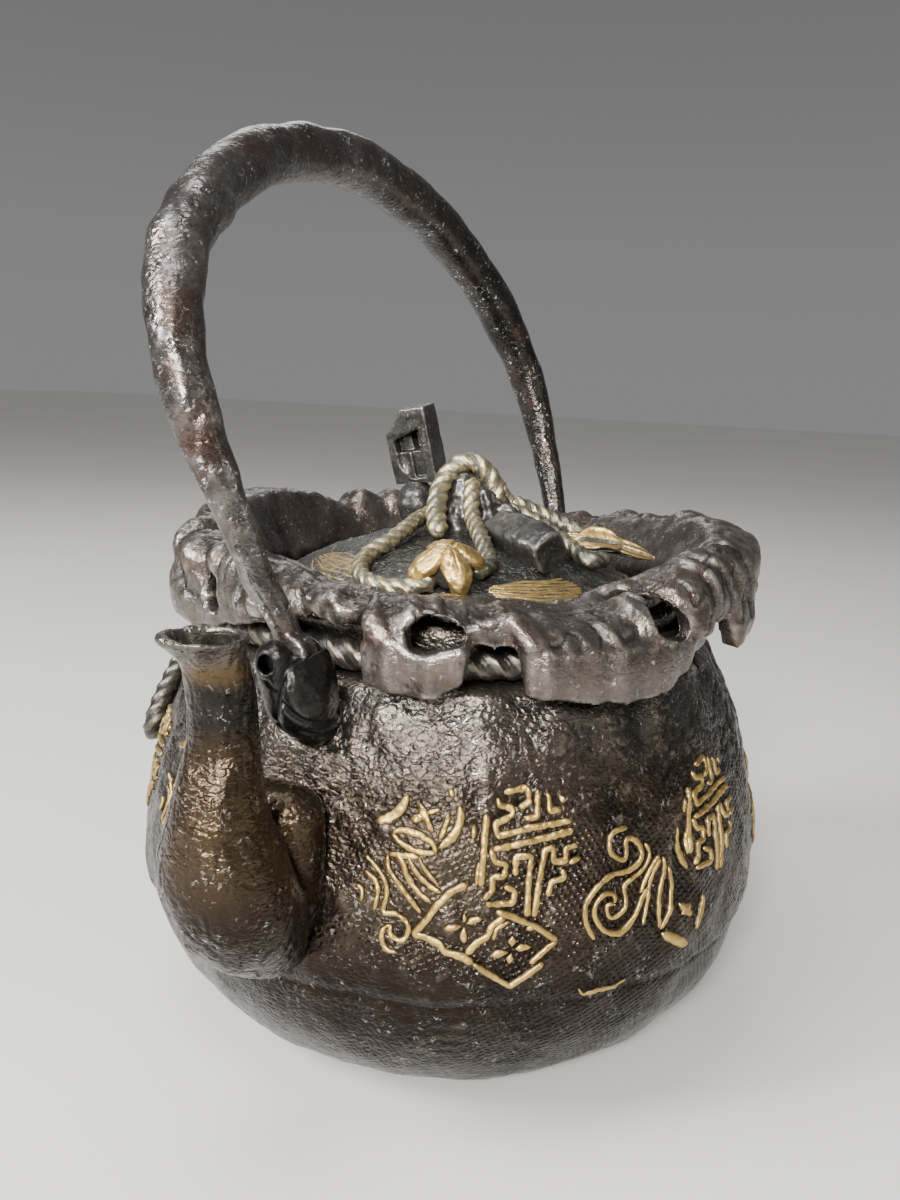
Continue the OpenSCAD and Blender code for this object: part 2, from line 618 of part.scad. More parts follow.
module lozenges(a, z) {
    color(gilt) {
        for (s = LOZENGES)
            stroke(a, z, s, 1.3);
        for (f = FLOWERS, q = [0 : 3])
            let (d = [cos(90 * q + 15), sin(90 * q + 15)])
            stroke(a, z, [f + 0.9 * d, f + 1.9 * d, f + 3.1 * d], 1.6, 0.4);
    }
}

// Angle and height of every inlaid motif, in the order of INLAYS
INLAY_AT = [[218.5, 69], [257, 69], [131, 66], [22, 68], [200.5, 58], [153, 60], [322, 58],
            [211.8, 48.5], [45, 48], [233, 60], [286, 60], [350, 58]];

// Angle and distance from the middle for every stroke of the lid's two gilt panels
module lid_strokes(a0, a1, count, r0, r1) {
    color(gilt)
        for (i = [0 : count - 1]) {
            r = mix(r0, r1, i / (count - 1));
            pts = [for (a = [a0 : (a1 - a0) / 6 : a1 + 0.1]) [r * cos(a), r * sin(a)]];
            skin([for (k = [0 : len(pts) - 1])
                let (u = unit(pts[k]), p = pts[k] - u * 0.55, q = pts[k] + u * 0.55)
                [dome_point(q[0], q[1], -0.4), dome_point(p[0], p[1], -0.4),
                 dome_point(p[0], p[1], 0.4), dome_point(q[0], q[1], 0.4)]]);
        }
}

module inlay_lid_brush() {
    lid_strokes(216, 249, 5, 38.4, 44);
}

module inlay_lid_fan() {
    lid_strokes(128, 168, 4, 33, 42);
}

module inlay(i) {
    a = INLAY_AT[i][0];
    z = INLAY_AT[i][1];
    if (i < 4) fret(a, z);
    else if (i < 7) ribbons(a, z, SCROLL);
    else if (i < 9) lozenges(a, z);
    else ribbons(a, z, SPIRAL);
}

vessel();
spout();
gathered_mouth();
neck_cord();
bow_knot();
bow_loops();
bow_tails();
front_lug();
rear_lug();
front_pivot_pin();
rear_pivot_pin();
handle();
lid_plate();
lid_skirt();
knob_peak();
knob_stud();
knob_rivet();
cord_left_loop();
cord_crown_front();
cord_crown_back();
cord_front_strand();
cord_right_strands();
gilt_bud();
gilt_leaf_round();
gilt_leaf_long();
barrel_toggle();
bead();
bead_pin();
box_toggle();
inlay_lid_brush();
inlay_lid_fan();
for (i = [0 : len(INLAYS) - 1])
    inlay(i);
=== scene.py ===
import math
from functools import reduce

import bmesh
import bpy
import numpy as np
from mathutils import Matrix, Vector


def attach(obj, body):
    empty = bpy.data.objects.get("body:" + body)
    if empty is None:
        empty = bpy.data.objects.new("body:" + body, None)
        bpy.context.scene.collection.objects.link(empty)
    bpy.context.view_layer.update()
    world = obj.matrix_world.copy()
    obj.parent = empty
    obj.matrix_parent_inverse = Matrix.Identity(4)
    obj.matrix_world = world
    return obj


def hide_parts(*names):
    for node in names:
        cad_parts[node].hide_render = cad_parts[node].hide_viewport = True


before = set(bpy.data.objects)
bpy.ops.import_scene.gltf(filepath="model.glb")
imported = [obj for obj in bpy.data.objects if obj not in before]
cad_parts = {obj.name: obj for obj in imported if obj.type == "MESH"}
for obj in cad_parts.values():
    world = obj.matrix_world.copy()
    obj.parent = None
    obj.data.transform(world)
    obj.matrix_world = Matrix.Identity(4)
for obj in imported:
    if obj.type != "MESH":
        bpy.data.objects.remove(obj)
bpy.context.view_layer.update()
MM = 0.001
TAU = 2 * math.pi


# ---------------------------------------------------------------- numbers
def ease(x):
    x = np.clip(x, 0, 1)
    return x * x * (3 - 2 * x)


def hashed(i, j, k, seed):
    h = ((i * 73856093) ^ (j * 19349663) ^ (k * 83492791) ^ (seed * 2654435761)) & 0xFFFFFFFF
    h = ((h ^ (h >> 16)) * 0x45D9F3B) & 0xFFFFFFFF
    h = ((h ^ (h >> 16)) * 0x45D9F3B) & 0xFFFFFFFF
    return (h ^ (h >> 16)) / 4294967295.0


def gnoise(p, seed=0):
    """Gradient noise, about -0.5 to 0.5, at points given in cells."""
    p = np.asarray(p, float)
    base = np.floor(p).astype(np.int64)
    f = p - base
    w = f * f * f * (f * (f * 6 - 15) + 10)
    total = 0
    for c in range(8):
        o = np.array([c & 1, (c >> 1) & 1, (c >> 2) & 1])
        i, j, k = (base[..., n] + o[n] for n in range(3))
        d = f - o
        dot = sum((hashed(i, j, k, seed + 101 * n) * 2 - 1) * d[..., n] for n in range(3))
        share = np.prod(np.where(o, w, 1 - w), axis=-1)
        total = total + dot * share
    return total


def fbm(p, octaves=3, seed=0, gain=0.5):
    return sum(gain ** o * gnoise(np.asarray(p) * 2.03 ** o, seed + 7 * o) for o in range(octaves))


def cells(p, seed=0):
    """Distance to the nearest and second nearest scattered point, in cells."""
    p = np.asarray(p, float)
    base = np.floor(p).astype(np.int64)
    near = np.full(p.shape[:-1], 9.0)
    second = near.copy()
    for c in range(27):
        o = np.array([c % 3, (c // 3) % 3, c // 9]) - 1
        i, j, k = (base[..., n] + o[n] for n in range(3))
        d2 = sum((i_ + hashed(i, j, k, seed + 31 * n) - p[..., n]) ** 2 for n, i_ in enumerate((i, j, k)))
        d = np.sqrt(d2)
        second = np.minimum(second, np.maximum(near, d))
        near = np.minimum(near, d)
    return near, second


def curve(points, n):
    """Catmull-Rom curve through points, n steps to each stretch."""
    p = np.asarray(points, float)
    q = np.vstack([2 * p[0] - p[1], p, 2 * p[-1] - p[-2]])
    out = []
    for i in range(len(p) - 1):
        a, b, c, d = q[i:i + 4]
        for k in range(n):
            t = k / n
            out.append(0.5 * (2 * b + (c - a) * t + (2 * a - 5 * b + 4 * c - d) * t * t
                              + (3 * b - a - 3 * c + d) * t ** 3))
    out.append(p[-1])
    return np.array(out)


def even(path, step, keys=3):
    """The path resampled at an even step along its first `keys` columns."""
    path = np.asarray(path, float)
    s = np.concatenate([[0], np.cumsum(np.linalg.norm(np.diff(path[:, :keys], axis=0), axis=1))])
    n = max(2, int(round(s[-1] / step)) + 1)
    t = np.linspace(0, s[-1], n)
    return np.stack([np.interp(t, s, path[:, c]) for c in range(path.shape[1])], 1), t


def tangents(path):
    t = np.gradient(path, axis=0)
    return t / np.linalg.norm(t, axis=1, keepdims=True)


def frames(path, up=(0, 0, 1)):
    """Unit vectors across the path that turn as little as possible."""
    t = tangents(path)
    s = np.cross(t[0], up)
    s /= np.linalg.norm(s)
    side = [s]
    for i in range(1, len(path)):
        s = side[-1] - t[i] * (side[-1] @ t[i])
        side.append(s / np.linalg.norm(s))
    side = np.array(side)
    return side, np.cross(t, side)


# ---------------------------------------------------------------- meshes
def grid_faces(rows, cols, wrap=True, close=False):
    i = np.arange(rows if close else rows - 1)[:, None]
    k = np.arange(cols if wrap else cols - 1)[None, :]
    j, l = (i + 1) % rows, (k + 1) % cols
    quads = np.stack(np.broadcast_arrays(i * cols + k, i * cols + l, j * cols + l, j * cols + k), -1)
    return [tuple(q) for q in quads.reshape(-1, 4)]


def fan_faces(rows, sides, first, last):
    """Faces that close the first and the last ring of a grid with one middle point each."""
    faces, end = [], (rows - 1) * sides
    for k in range(sides):
        l = (k + 1) % sides
        faces += [(first, l, k), (last, end + k, end + l)]
    return faces


def linked(name, data):
    obj = bpy.data.objects.new(name, data)
    bpy.context.scene.collection.objects.link(obj)
    return obj


def build(name, verts, faces, flip=False):
    """An object from vertices in millimetres."""
    me = bpy.data.meshes.new(name)
    faces = [tuple(int(v) for v in (f[::-1] if flip else f)) for f in faces]
    me.from_pydata((np.asarray(verts) * MM).tolist(), [], faces)
    me.update()
    return linked(name, me)


def tube(path, radius, sides=24, up=(0, 0, 1)):
    """Vertices and faces of a capped tube. radius is one number, one per point, or rows of one per side."""
    s, n = frames(path, up)
    a = np.linspace(0, TAU, sides, endpoint=False)
    r = np.broadcast_to(np.asarray(radius, float).reshape(len(np.atleast_1d(radius)), -1), (len(path), sides))
    c, d = np.cos(a)[None, :, None], np.sin(a)[None, :, None]
    v = (path[:, None, :] + r[..., None] * (c * s[:, None, :] + d * n[:, None, :])).reshape(-1, 3)
    f = grid_faces(len(path), sides) + fan_faces(len(path), sides, len(v), len(v) + 1)
    return np.vstack([v, path[0], path[-1]]), f


def revolve(profile, turns):
    """Vertices and faces of a closed turned shape: profile is r, z from pole to pole."""
    verts, rows, faces = [], [], []
    a = np.linspace(0, TAU, turns, endpoint=False)
    for r, z in profile:
        if r < 1e-6:
            rows.append([len(verts)])
            verts.append((0, 0, z))
        else:
            rows.append(list(range(len(verts), len(verts) + turns)))
            verts.extend(zip(r * np.cos(a), r * np.sin(a), np.full(turns, z)))
    for low, high in zip(rows, rows[1:]):
        for k in range(turns):
            l = (k + 1) % turns
            if len(low) == 1 and len(high) > 1:
                faces.append((low[0], high[l], high[k]))
            elif len(high) == 1 and len(low) > 1:
                faces.append((low[k], low[l], high[0]))
            elif len(low) > 1:
                faces.append((low[k], low[l], high[l], high[k]))
    return np.array(verts), faces


def ball(r, centre, rings=24):
    p = np.linspace(-np.pi / 2, np.pi / 2, rings)
    v, f = revolve(np.stack([r * np.cos(p) * (np.abs(np.cos(p)) > 1e-9), r * np.sin(p)], 1), rings * 2)
    return v + centre, f


def rod(x0, x1, r, y, z, sides=48):
    """A plain bar along X, for cutting and joining."""
    return tube(np.array([[x0, y, z], [0.5 * (x0 + x1), y, z], [x1, y, z]], float), r, sides)


def hulled(parts, name):
    """Convex hull of several closed shapes."""
    bm = bmesh.new()
    for v in np.vstack([p[0] for p in parts]):
        bm.verts.new(v * MM)
    out = bmesh.ops.convex_hull(bm, input=bm.verts[:])
    inside = [g for g in out["geom_interior"] if isinstance(g, bmesh.types.BMVert)]
    bmesh.ops.delete(bm, geom=inside, context="VERTS")
    bmesh.ops.delete(bm, geom=[v for v in bm.verts if not v.link_faces], context="VERTS")
    me = bpy.data.meshes.new(name)
    bm.to_mesh(me)
    bm.free()
    return linked(name, me)


def coords(obj):
    co = np.zeros(len(obj.data.vertices) * 3)
    obj.data.vertices.foreach_get("co", co)
    return co.reshape(-1, 3) / MM


def normals(obj):
    n = np.zeros(len(obj.data.vertices) * 3)
    obj.data.vertex_normals.foreach_get("vector", n)
    return n.reshape(-1, 3)


def place(obj, verts):
    obj.data.vertices.foreach_set("co", (np.asarray(verts) * MM).ravel())
    obj.data.update()


def mark(obj, values):
    """Stores the wear of each vertex, 0 to 1, for the material to read."""
    at = obj.data.attributes.get("wear") or obj.data.attributes.new("wear", "FLOAT", "POINT")
    at.data.foreach_set("value", np.asarray(values, np.float32))


def applied(obj):
    """Replaces the object's mesh by what its modifiers make of it."""
    depsgraph = bpy.context.evaluated_depsgraph_get()
    me = bpy.data.meshes.new_from_object(obj.evaluated_get(depsgraph))
    obj.modifiers.clear()
    obj.data = me
    return obj


def remesh(obj, voxel, rounds=4):
    m = obj.modifiers.new("voxels", "REMESH")
    m.mode = "VOXEL"
    m.voxel_size = voxel * MM
    m.adaptivity = 0
    s = obj.modifiers.new("soften", "SMOOTH")
    s.factor = 0.5
    s.iterations = rounds
    return applied(obj)


def cut(obj, other, operation="DIFFERENCE"):
    """A Boolean of two objects; the other one is used up."""
    m = obj.modifiers.new("boolean", "BOOLEAN")
    m.object = other
    m.operation = operation
    m.solver = "EXACT"
    applied(obj)
    bpy.data.objects.remove(other)
    return obj


def raised(obj, height):
    """Moves each vertex along its normal by height(points, normals)."""
    co, no = coords(obj), normals(obj)
    place(obj, co + no * height(co, no)[:, None])
    return obj


def worn(obj, rounds=8, scale=0.25):
    """Marks how far each vertex stands out of its smoothed surroundings: 1 on edges and bumps, 0 in grooves."""
    me = obj.data
    e = np.zeros(len(me.edges) * 2, np.int64)
    me.edges.foreach_get("vertices", e)
    a, b = e[0::2], e[1::2]
    n = len(me.vertices)
    count = np.bincount(a, minlength=n) + np.bincount(b, minlength=n)
    co = coords(obj)
    soft = co.copy()
    for _ in range(rounds):
        total = np.stack([np.bincount(a, soft[b, c], n) + np.bincount(b, soft[a, c], n) for c in range(3)], 1)
        soft = 0.5 * soft + 0.5 * total / np.maximum(count, 1)[:, None]
    out = np.einsum("ij,ij->i", co - soft, normals(obj))
    mark(obj, np.clip(0.5 + 0.5 * out / scale, 0, 1))
    return obj


def joined(parts, name):
    """One object from several lists of vertices and faces."""
    verts, faces, n = [], [], 0
    for v, f in parts:
        verts.append(v)
        faces.extend(tuple(int(i) + n for i in face) for face in f)
        n += len(v)
    return build(name, np.vstack(verts), faces)


def piece(obj, body, slot, material, *nodes):
    """The last step for every visible piece."""
    obj.data.materials.clear()
    obj.data.materials.append(material)
    obj.data.polygons.foreach_set("use_smooth", np.ones(len(obj.data.polygons), bool))
    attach(obj, body)
    if nodes:
        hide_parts(*nodes)
    return obj


# ---------------------------------------------------------------- materials
class Tree:
    """A small helper for writing node materials."""

    def __init__(self, name):
        self.mat = bpy.data.materials.new(name)
        self.mat.use_nodes = True
        self.tree = self.mat.node_tree
        self.tree.nodes.clear()
        where = self.add("ShaderNodeTexCoord", out="Object")
        self.at = self.add("ShaderNodeVectorMath", {0: where, 1: (1000, 1000, 1000)}, operation="MULTIPLY")

    def plug(self, socket, value):
        if isinstance(value, bpy.types.NodeSocket):
            self.tree.links.new(value, socket)
        else:
            socket.default_value = value

    def add(self, kind, ins=None, out=0, **props):
        node = self.tree.nodes.new(kind)
        for key, value in props.items():
            setattr(node, key, value)
        for key, value in (ins or {}).items():
            self.plug(node.inputs[key], value)
        return node.outputs[out]

    def noise(self, size, detail=3.0, rough=0.55, warp=0.0):
        """Noise whose blobs are about `size` millimetres."""
        return self.add("ShaderNodeTexNoise", {"Vector": self.at, "Scale": 1 / size, "Detail": detail,
                                               "Roughness": rough, "Distortion": warp})

    def cells(self, size):
        return self.add("ShaderNodeTexVoronoi", {"Vector": self.at, "Scale": 1 / size}, "Distance")

    def math(self, op, a, b=0.0, clamp=False):
        return self.add("ShaderNodeMath", {0: a, 1: b}, operation=op, use_clamp=clamp)

    def times(self, *terms):
        return reduce(lambda a, b: self.math("MULTIPLY", a, b), terms)

    def plus(self, *terms):
        return reduce(lambda a, b: self.math("ADD", a, b), terms)

    def span(self, value, low, high, to_low=0.0, to_high=1.0):
        return self.add("ShaderNodeMapRange", {"Value": value, "From Min": low, "From Max": high,
                                               "To Min": to_low, "To Max": to_high})

    def mix(self, share, a, b):
        node = self.tree.nodes.new("ShaderNodeMix")
        node.data_type = "RGBA"
        for key, value in ((0, share), (6, a), (7, b)):
            self.plug(node.inputs[key], (*value, 1) if isinstance(value, tuple) else value)
        return node.outputs[2]

    def wear(self):
        return self.add("ShaderNodeAttribute", out="Fac", attribute_name="wear")

    def bump(self, height, depth=1.0, strength=1.0):
        """depth in millimetres."""
        return self.add("ShaderNodeBump", {"Height": height, "Distance": depth * MM, "Strength": strength})

    def done(self, color, rough, metallic, normal):
        shader = self.add("ShaderNodeBsdfPrincipled", {"Base Color": color, "Roughness": rough,
                                                       "Metallic": metallic, "Normal": normal})
        end = self.tree.nodes.new("ShaderNodeOutputMaterial")
        self.tree.links.new(shader, end.inputs[0])
        return self.mat


def patina(name, deep, mid, rub, rough, metallic, grain, pits, weave=0.0, glint=0.0,
           glint_color=(0.75, 0.7, 0.62), rust=None, crackle=0.0, zones=(), rear=None):
    """Dark patinated metal: mottled colour, rubbed high spots, painted glints, casting grain, pits, crackle and
    cloth weave.

    Each zone is z where it starts, z where it is full, colour, share; zones can paint shade and highlights, as
    noted where they are given. rear is painted shade: a colour that comes in towards +X, the side away from the
    lamps."""
    t = Tree(name)
    wear = t.wear()
    x = t.add("ShaderNodeSeparateXYZ", {0: t.at}, 0)
    y, z = x.node.outputs[1], x.node.outputs[2]
    broad = t.span(t.noise(14, 4, 0.6, 0.4), 0.38, 0.64)
    color = t.mix(broad, deep, mid)
    fine = t.noise(1.3, 5, 0.65)
    color = t.mix(t.span(fine, 0.35, 0.7, 0, 0.55), color, tuple(c * 0.45 for c in deep))
    rubbed = t.times(t.span(wear, 0.6, 1.0, 0, 0.85), t.span(t.noise(2.6, 4, 0.6), 0.34, 0.64))
    color = t.mix(rubbed, color, rub)
    color = t.mix(t.span(wear, 0.45, 0.1, 0, 0.8), color, tuple(c * 0.3 for c in deep))
    for low, high, tone, share in zones:
        patchy = t.span(t.noise(8, 3, 0.6, 0.5), 0.3, 0.55, 0.6, 1)
        color = t.mix(t.times(t.span(z, low, high, 0, share), patchy), color, tone)
    # painted shade: the colour darkens towards +X, the side away from the lamps
    if rear:
        color = t.mix(t.span(x, 0, 55, 0, 0.8), color, rear)
    if rust:
        color = t.mix(t.times(t.span(t.noise(9, 4, 0.6, 0.6), 0.5, 0.66), 0.75), color, rust)
    pit = t.span(t.cells(2.1), 0.12, 0.38)
    height = t.plus(t.times(fine, grain), t.times(t.noise(4.2, 3, 0.6), grain * 1.6), t.times(pit, pits))
    if crackle:
        bent = t.add("ShaderNodeVectorMath", {0: t.at, 1: (0.62, 0.62, 1.0)}, operation="MULTIPLY")
        push = t.add("ShaderNodeTexNoise", {"Vector": t.at, "Scale": 0.35, "Detail": 3.0}, 1)
        bent = t.add("ShaderNodeVectorMath", {0: bent, 1: push}, operation="ADD")
        edge = t.add("ShaderNodeTexVoronoi", {"Vector": bent, "Scale": 0.75}, "Distance",
                     feature="DISTANCE_TO_EDGE")
        skin = t.times(t.span(edge, 0.0, 0.22), t.span(t.noise(11, 2, 0.5), 0.35, 0.6, 0.35, 1))
        height = t.plus(height, t.times(skin, crackle))
    if weave:
        turn = t.math("ARCTAN2", y, x)
        wander = t.times(t.noise(16, 2, 0.5), 5.0)
        one = t.math("SINE", t.plus(t.times(turn, 290), t.times(z, 2.3), wander))
        two = t.math("SINE", t.plus(t.times(turn, -170), t.times(z, 4.4), wander))
        cloth = t.times(t.plus(one, 1.0), t.plus(two, 1.0))
        face = t.span(t.math("COSINE", t.plus(turn, 1.95)), 0.45, 0.85, 0.12, 1)
        patch = t.times(t.span(t.noise(20, 2, 0.5), 0.38, 0.54, 0.2, 1), t.span(z, 84, 66), face)
        height = t.plus(height, t.times(cloth, patch, weave))
    roughness = t.span(t.noise(3.2, 4, 0.6), 0.3, 0.7, rough[0], rough[1])
    # painted glints: pale specks of glint_color mixed into the base colour stand in for sparkle, and the roughness
    # drops a little under them
    if glint:
        spark = t.times(t.span(t.noise(1.1, 3, 0.6, 0.8), 0.58, 0.68), t.span(t.noise(5, 3, 0.6), 0.5, 0.64))
        color = t.mix(t.times(spark, glint), color, glint_color)
        roughness = t.math("SUBTRACT", roughness, t.times(spark, 0.15), clamp=True)
    return t.done(color, roughness, metallic, t.bump(height))


def gilding(name, gold, shade, under, rough, bare, grain=0.15, side_shade=None):
    """Worn gilding: gold on the high parts, dark metal in the grooves and where it has rubbed through.

    The colour given for the -Y side is painted shade that takes over there."""
    t = Tree(name)
    wear = t.wear()
    patchy = t.noise(1.6, 4, 0.6)
    color = t.mix(t.span(t.noise(5, 3, 0.5), 0.35, 0.65), gold, shade)
    cover = t.plus(t.times(wear, 1.0), t.times(patchy, 0.7))
    cover = t.span(cover, bare[0] + 0.3, bare[1] + 0.3)
    # painted shade: the colour darkens towards -Y
    if side_shade:
        y = t.add("ShaderNodeSeparateXYZ", {0: t.at}, 1)
        far = t.times(t.span(y, -9, -19, 0, 0.85), t.span(t.noise(7, 3, 0.6), 0.36, 0.56, 0.4, 1))
        color = t.mix(far, color, side_shade)
    color = t.mix(cover, under, color)
    height = t.plus(t.times(t.noise(0.8, 4, 0.6), grain), t.times(cover, 0.08))
    return t.done(color, t.span(t.noise(2.2, 3, 0.6), 0.3, 0.7, rough[0], rough[1]),
                  t.span(cover, 0, 1, 0.55, 0.92), t.bump(height))


# On the body the zone from z 52 down to 38 is painted shade on the lower belly, and the grey zone from z 78 up to
# 98 is a painted highlight on the shoulder.
BODY_IRON = patina("body_iron", (0.022, 0.016, 0.011), (0.062, 0.046, 0.032), (0.34, 0.28, 0.215),
                   (0.16, 0.34), 0.88, 0.2, 0.12, weave=0.08, glint=0.5, glint_color=(0.62, 0.62, 0.6), crackle=0.1,
                   zones=((52, 38, (0.011, 0.007, 0.0045), 0.97), (78, 98, (0.1, 0.095, 0.088), 0.55)))
# On the spout the zone from z 73 down to 62 is painted shade on its lower part, where it meets the body.
SPOUT_IRON = patina("spout_iron", (0.012, 0.0105, 0.009), (0.03, 0.026, 0.022), (0.24, 0.2, 0.15),
                    (0.16, 0.34), 0.86, 0.14, 0.1, glint=0.8, glint_color=(0.5, 0.49, 0.44), crackle=0.1,
                    zones=((100, 93, (0.066, 0.042, 0.021), 0.62), (73, 62, (0.014, 0.009, 0.006), 0.95),
                           (106.3, 109.6, (0.13, 0.085, 0.036), 0.62), (110.4, 113.4, (0.1, 0.092, 0.08), 0.95)))
MOUTH_IRON = patina("mouth_iron", (0.08, 0.068, 0.06), (0.158, 0.138, 0.123), (0.37, 0.34, 0.305),
                    (0.2, 0.4), 0.84, 0.11, 0.08, glint=0.7, glint_color=(0.6, 0.57, 0.54), crackle=0.05,
                    rust=(0.095, 0.066, 0.052))
# The handle's last colour is painted shade on its +X limb, away from the lamps.
HANDLE_IRON = patina("handle_iron", (0.055, 0.048, 0.044), (0.15, 0.135, 0.125), (0.5, 0.48, 0.46),
                     (0.18, 0.36), 0.86, 0.1, 0.12, glint=1.0, glint_color=(0.85, 0.83, 0.8),
                     rust=(0.075, 0.046, 0.036), crackle=0.05, rear=(0.017, 0.015, 0.013))
LUG_IRON = patina("lug_iron", (0.012, 0.011, 0.01), (0.026, 0.024, 0.022), (0.12, 0.115, 0.11),
                  (0.2, 0.38), 0.78, 0.14, 0.08)
LID_BRONZE = patina("lid_bronze", (0.036, 0.037, 0.035), (0.095, 0.095, 0.086), (0.3, 0.28, 0.22),
                    (0.24, 0.46), 0.75, 0.4, 0.14, glint=1.0, glint_color=(0.7, 0.68, 0.62), crackle=0.2)
KNOB_METAL = patina("knob_metal", (0.06, 0.056, 0.053), (0.12, 0.114, 0.107), (0.34, 0.31, 0.28),
                    (0.26, 0.44), 0.8, 0.08, 0.05, glint=0.5, glint_color=(0.6, 0.57, 0.5))
GILT = gilding("gilt", (0.52, 0.36, 0.115), (0.32, 0.215, 0.072), (0.045, 0.034, 0.023),
               (0.27, 0.46), (0.5, 0.82))
GILT_BRIGHT = gilding("gilt_bright", (0.66, 0.46, 0.165), (0.46, 0.31, 0.115), (0.065, 0.06, 0.05),
                      (0.3, 0.48), (0.4, 0.68))
# The cord gilding takes on painted shade towards -Y.
GILT_CORD = gilding("gilt_cord", (0.5, 0.41, 0.23), (0.3, 0.265, 0.175), (0.1, 0.098, 0.082),
                    (0.32, 0.5), (0.1, 0.56), side_shade=(0.085, 0.09, 0.078))
BRONZE_CORD = gilding("bronze_cord", (0.13, 0.112, 0.09), (0.09, 0.08, 0.066), (0.024, 0.022, 0.019),
                      (0.26, 0.44), (0.25, 0.7))


# ---------------------------------------------------------------- body
BODY_R, FOOT_R, BELLY_Z, FULL_Z, FULL_R, CURVE = 82, 47.5, 45, 108.5, 61.8, 1.8
SEAM_Z, SHOULDER_Z, NECK_R, NECK_Z, SEAT_Z, MOUTH_R, WALL = 35, 99, 58, 101, 111.5, 40, 3


def body_r_at(z):
    z = np.asarray(z, float)
    low = FOOT_R + (BODY_R - FOOT_R) * (1 - (1 - np.clip(z, 0, BELLY_Z) / BELLY_Z) ** CURVE) ** (1 / CURVE)
    high = BODY_R - (BODY_R - FULL_R) * (np.clip(z - BELLY_Z, 0, None) / (FULL_Z - BELLY_Z)) ** CURVE
    return np.where(z < BELLY_Z, low, high)


# Lines of the ungilded fret under the seam, each from x0, y0 to x1, y1 in millimetres
FAINT_LINES = [
    [-15, 7, -15, -4], [-12, 7, -12, -6], [-9, 7, -1, 7], [-9, 4, -2, 4], [-9, 1, -4, 1], [-9, -2, -9, -7],
    [-6, -2, -6, -8], [-3, 1, -3, -8], [0, 5, 0, -8], [3, 7, 9, 7], [3, 4, 3, -3], [3, -3, 8, -3],
    [6, 4, 11, 4], [6, 1, 6, -0.5], [9, 1, 14, 1], [11, -2, 11, -6], [14, 5, 14, -3]]


def faint_fret(turn, w):
    """The faint fret's height, about 1 on its lines and 0 off them, at degrees from its middle and w up from it."""
    out = np.zeros(len(w))
    u = np.where(turn > 180, turn - 360, turn) * 1.25
    near = (np.abs(u) < 20) & (np.abs(w) < 11)
    u, w = u[near], w[near]
    best = np.full(len(u), 9.0)
    for x0, y0, x1, y1 in FAINT_LINES:
        dx, dy = x1 - x0, y1 - y0
        t = np.clip(((u - x0) * dx + (w - y0) * dy) / (dx * dx + dy * dy), 0, 1)
        best = np.minimum(best, np.hypot(u - x0 - t * dx, w - y0 - t * dy))
    out[near] = ease((1.15 - best) / 0.7) * (0.5 + gnoise(np.stack([u, w, 0 * u], 1) / 4, 77))
    return out


def body_relief(p):
    """Height of the cast skin over the plain turned body."""
    a = np.arctan2(p[:, 1], p[:, 0])
    z = p[:, 2]
    top = ease((z - 50) / 35)
    low = ease((SEAM_Z - z) / 4)
    h = 1.5 * fbm(p / 26, 2, 3) + 0.7 * fbm(p / 9, 2, 11) * (1 - 0.5 * low)
    crease = np.abs(gnoise(p / [7, 7, 4.5] + 3 * gnoise(p / 20, 5)[:, None] * 0.4, 21))
    h -= 0.42 * np.clip(1 - crease / 0.09, 0, 1) ** 1.5 * (0.25 + 0.75 * top) * (1 - low)
    near, second = cells(p / [3.4, 3.4, 2.6] + 0.35 * fbm(p / 6, 2, 8)[:, None], 4)
    h -= 0.13 * np.clip(1 - (second - near) / 0.16, 0, 1) * (0.35 + 0.65 * top) * (1 - 0.8 * low)
    pleat = np.cos(a * 23 + 2.5 * np.sin(a * 3)) * ease((z - 82) / 18) * 0.5
    h += pleat + 0.22 * fbm(p / 1.9, 2, 31) * (1 - 0.4 * low)
    for at, width, deep in ((238, 5, 1.1), (305, 7, 0.9), (30, 6, 0.9), (100, 7, 0.8), (165, 5, 0.8)):
        turn = (np.degrees(a) - at - 0.12 * (z - 70) + 180) % 360 - 180
        h -= deep * np.exp(-(turn / width) ** 2) * ease((z - 55) / 30)
    turn = (np.degrees(a) - 247 + 180) % 360 - 180
    h -= 1.3 * np.exp(-((turn - 0.15 * (z - 62)) / 2.2) ** 2 - ((z - 63) / 7) ** 2)
    h += 0.4 * faint_fret((np.degrees(a) - 212.5) % 360, z - 22.5)
    return h * ease((z - 1) / 5) * ease((NECK_Z + 2 - z) / 3)


def on_body(a, z, h):
    """Points over the cast skin: angle in degrees, height, and distance out from the skin."""
    a, z = np.radians(np.asarray(a, float)), np.asarray(z, float)
    r = body_r_at(z)
    p = np.stack([r * np.cos(a), r * np.sin(a), z + 0 * a], -1)
    lift = body_relief(p.reshape(-1, 3)).reshape(r.shape) + h
    slope = (body_r_at(z + 0.5) - body_r_at(z - 0.5))
    n = np.stack([np.cos(a), np.sin(a), -slope], -1)
    return p + n / np.linalg.norm(n, axis=-1, keepdims=True) * lift[..., None]


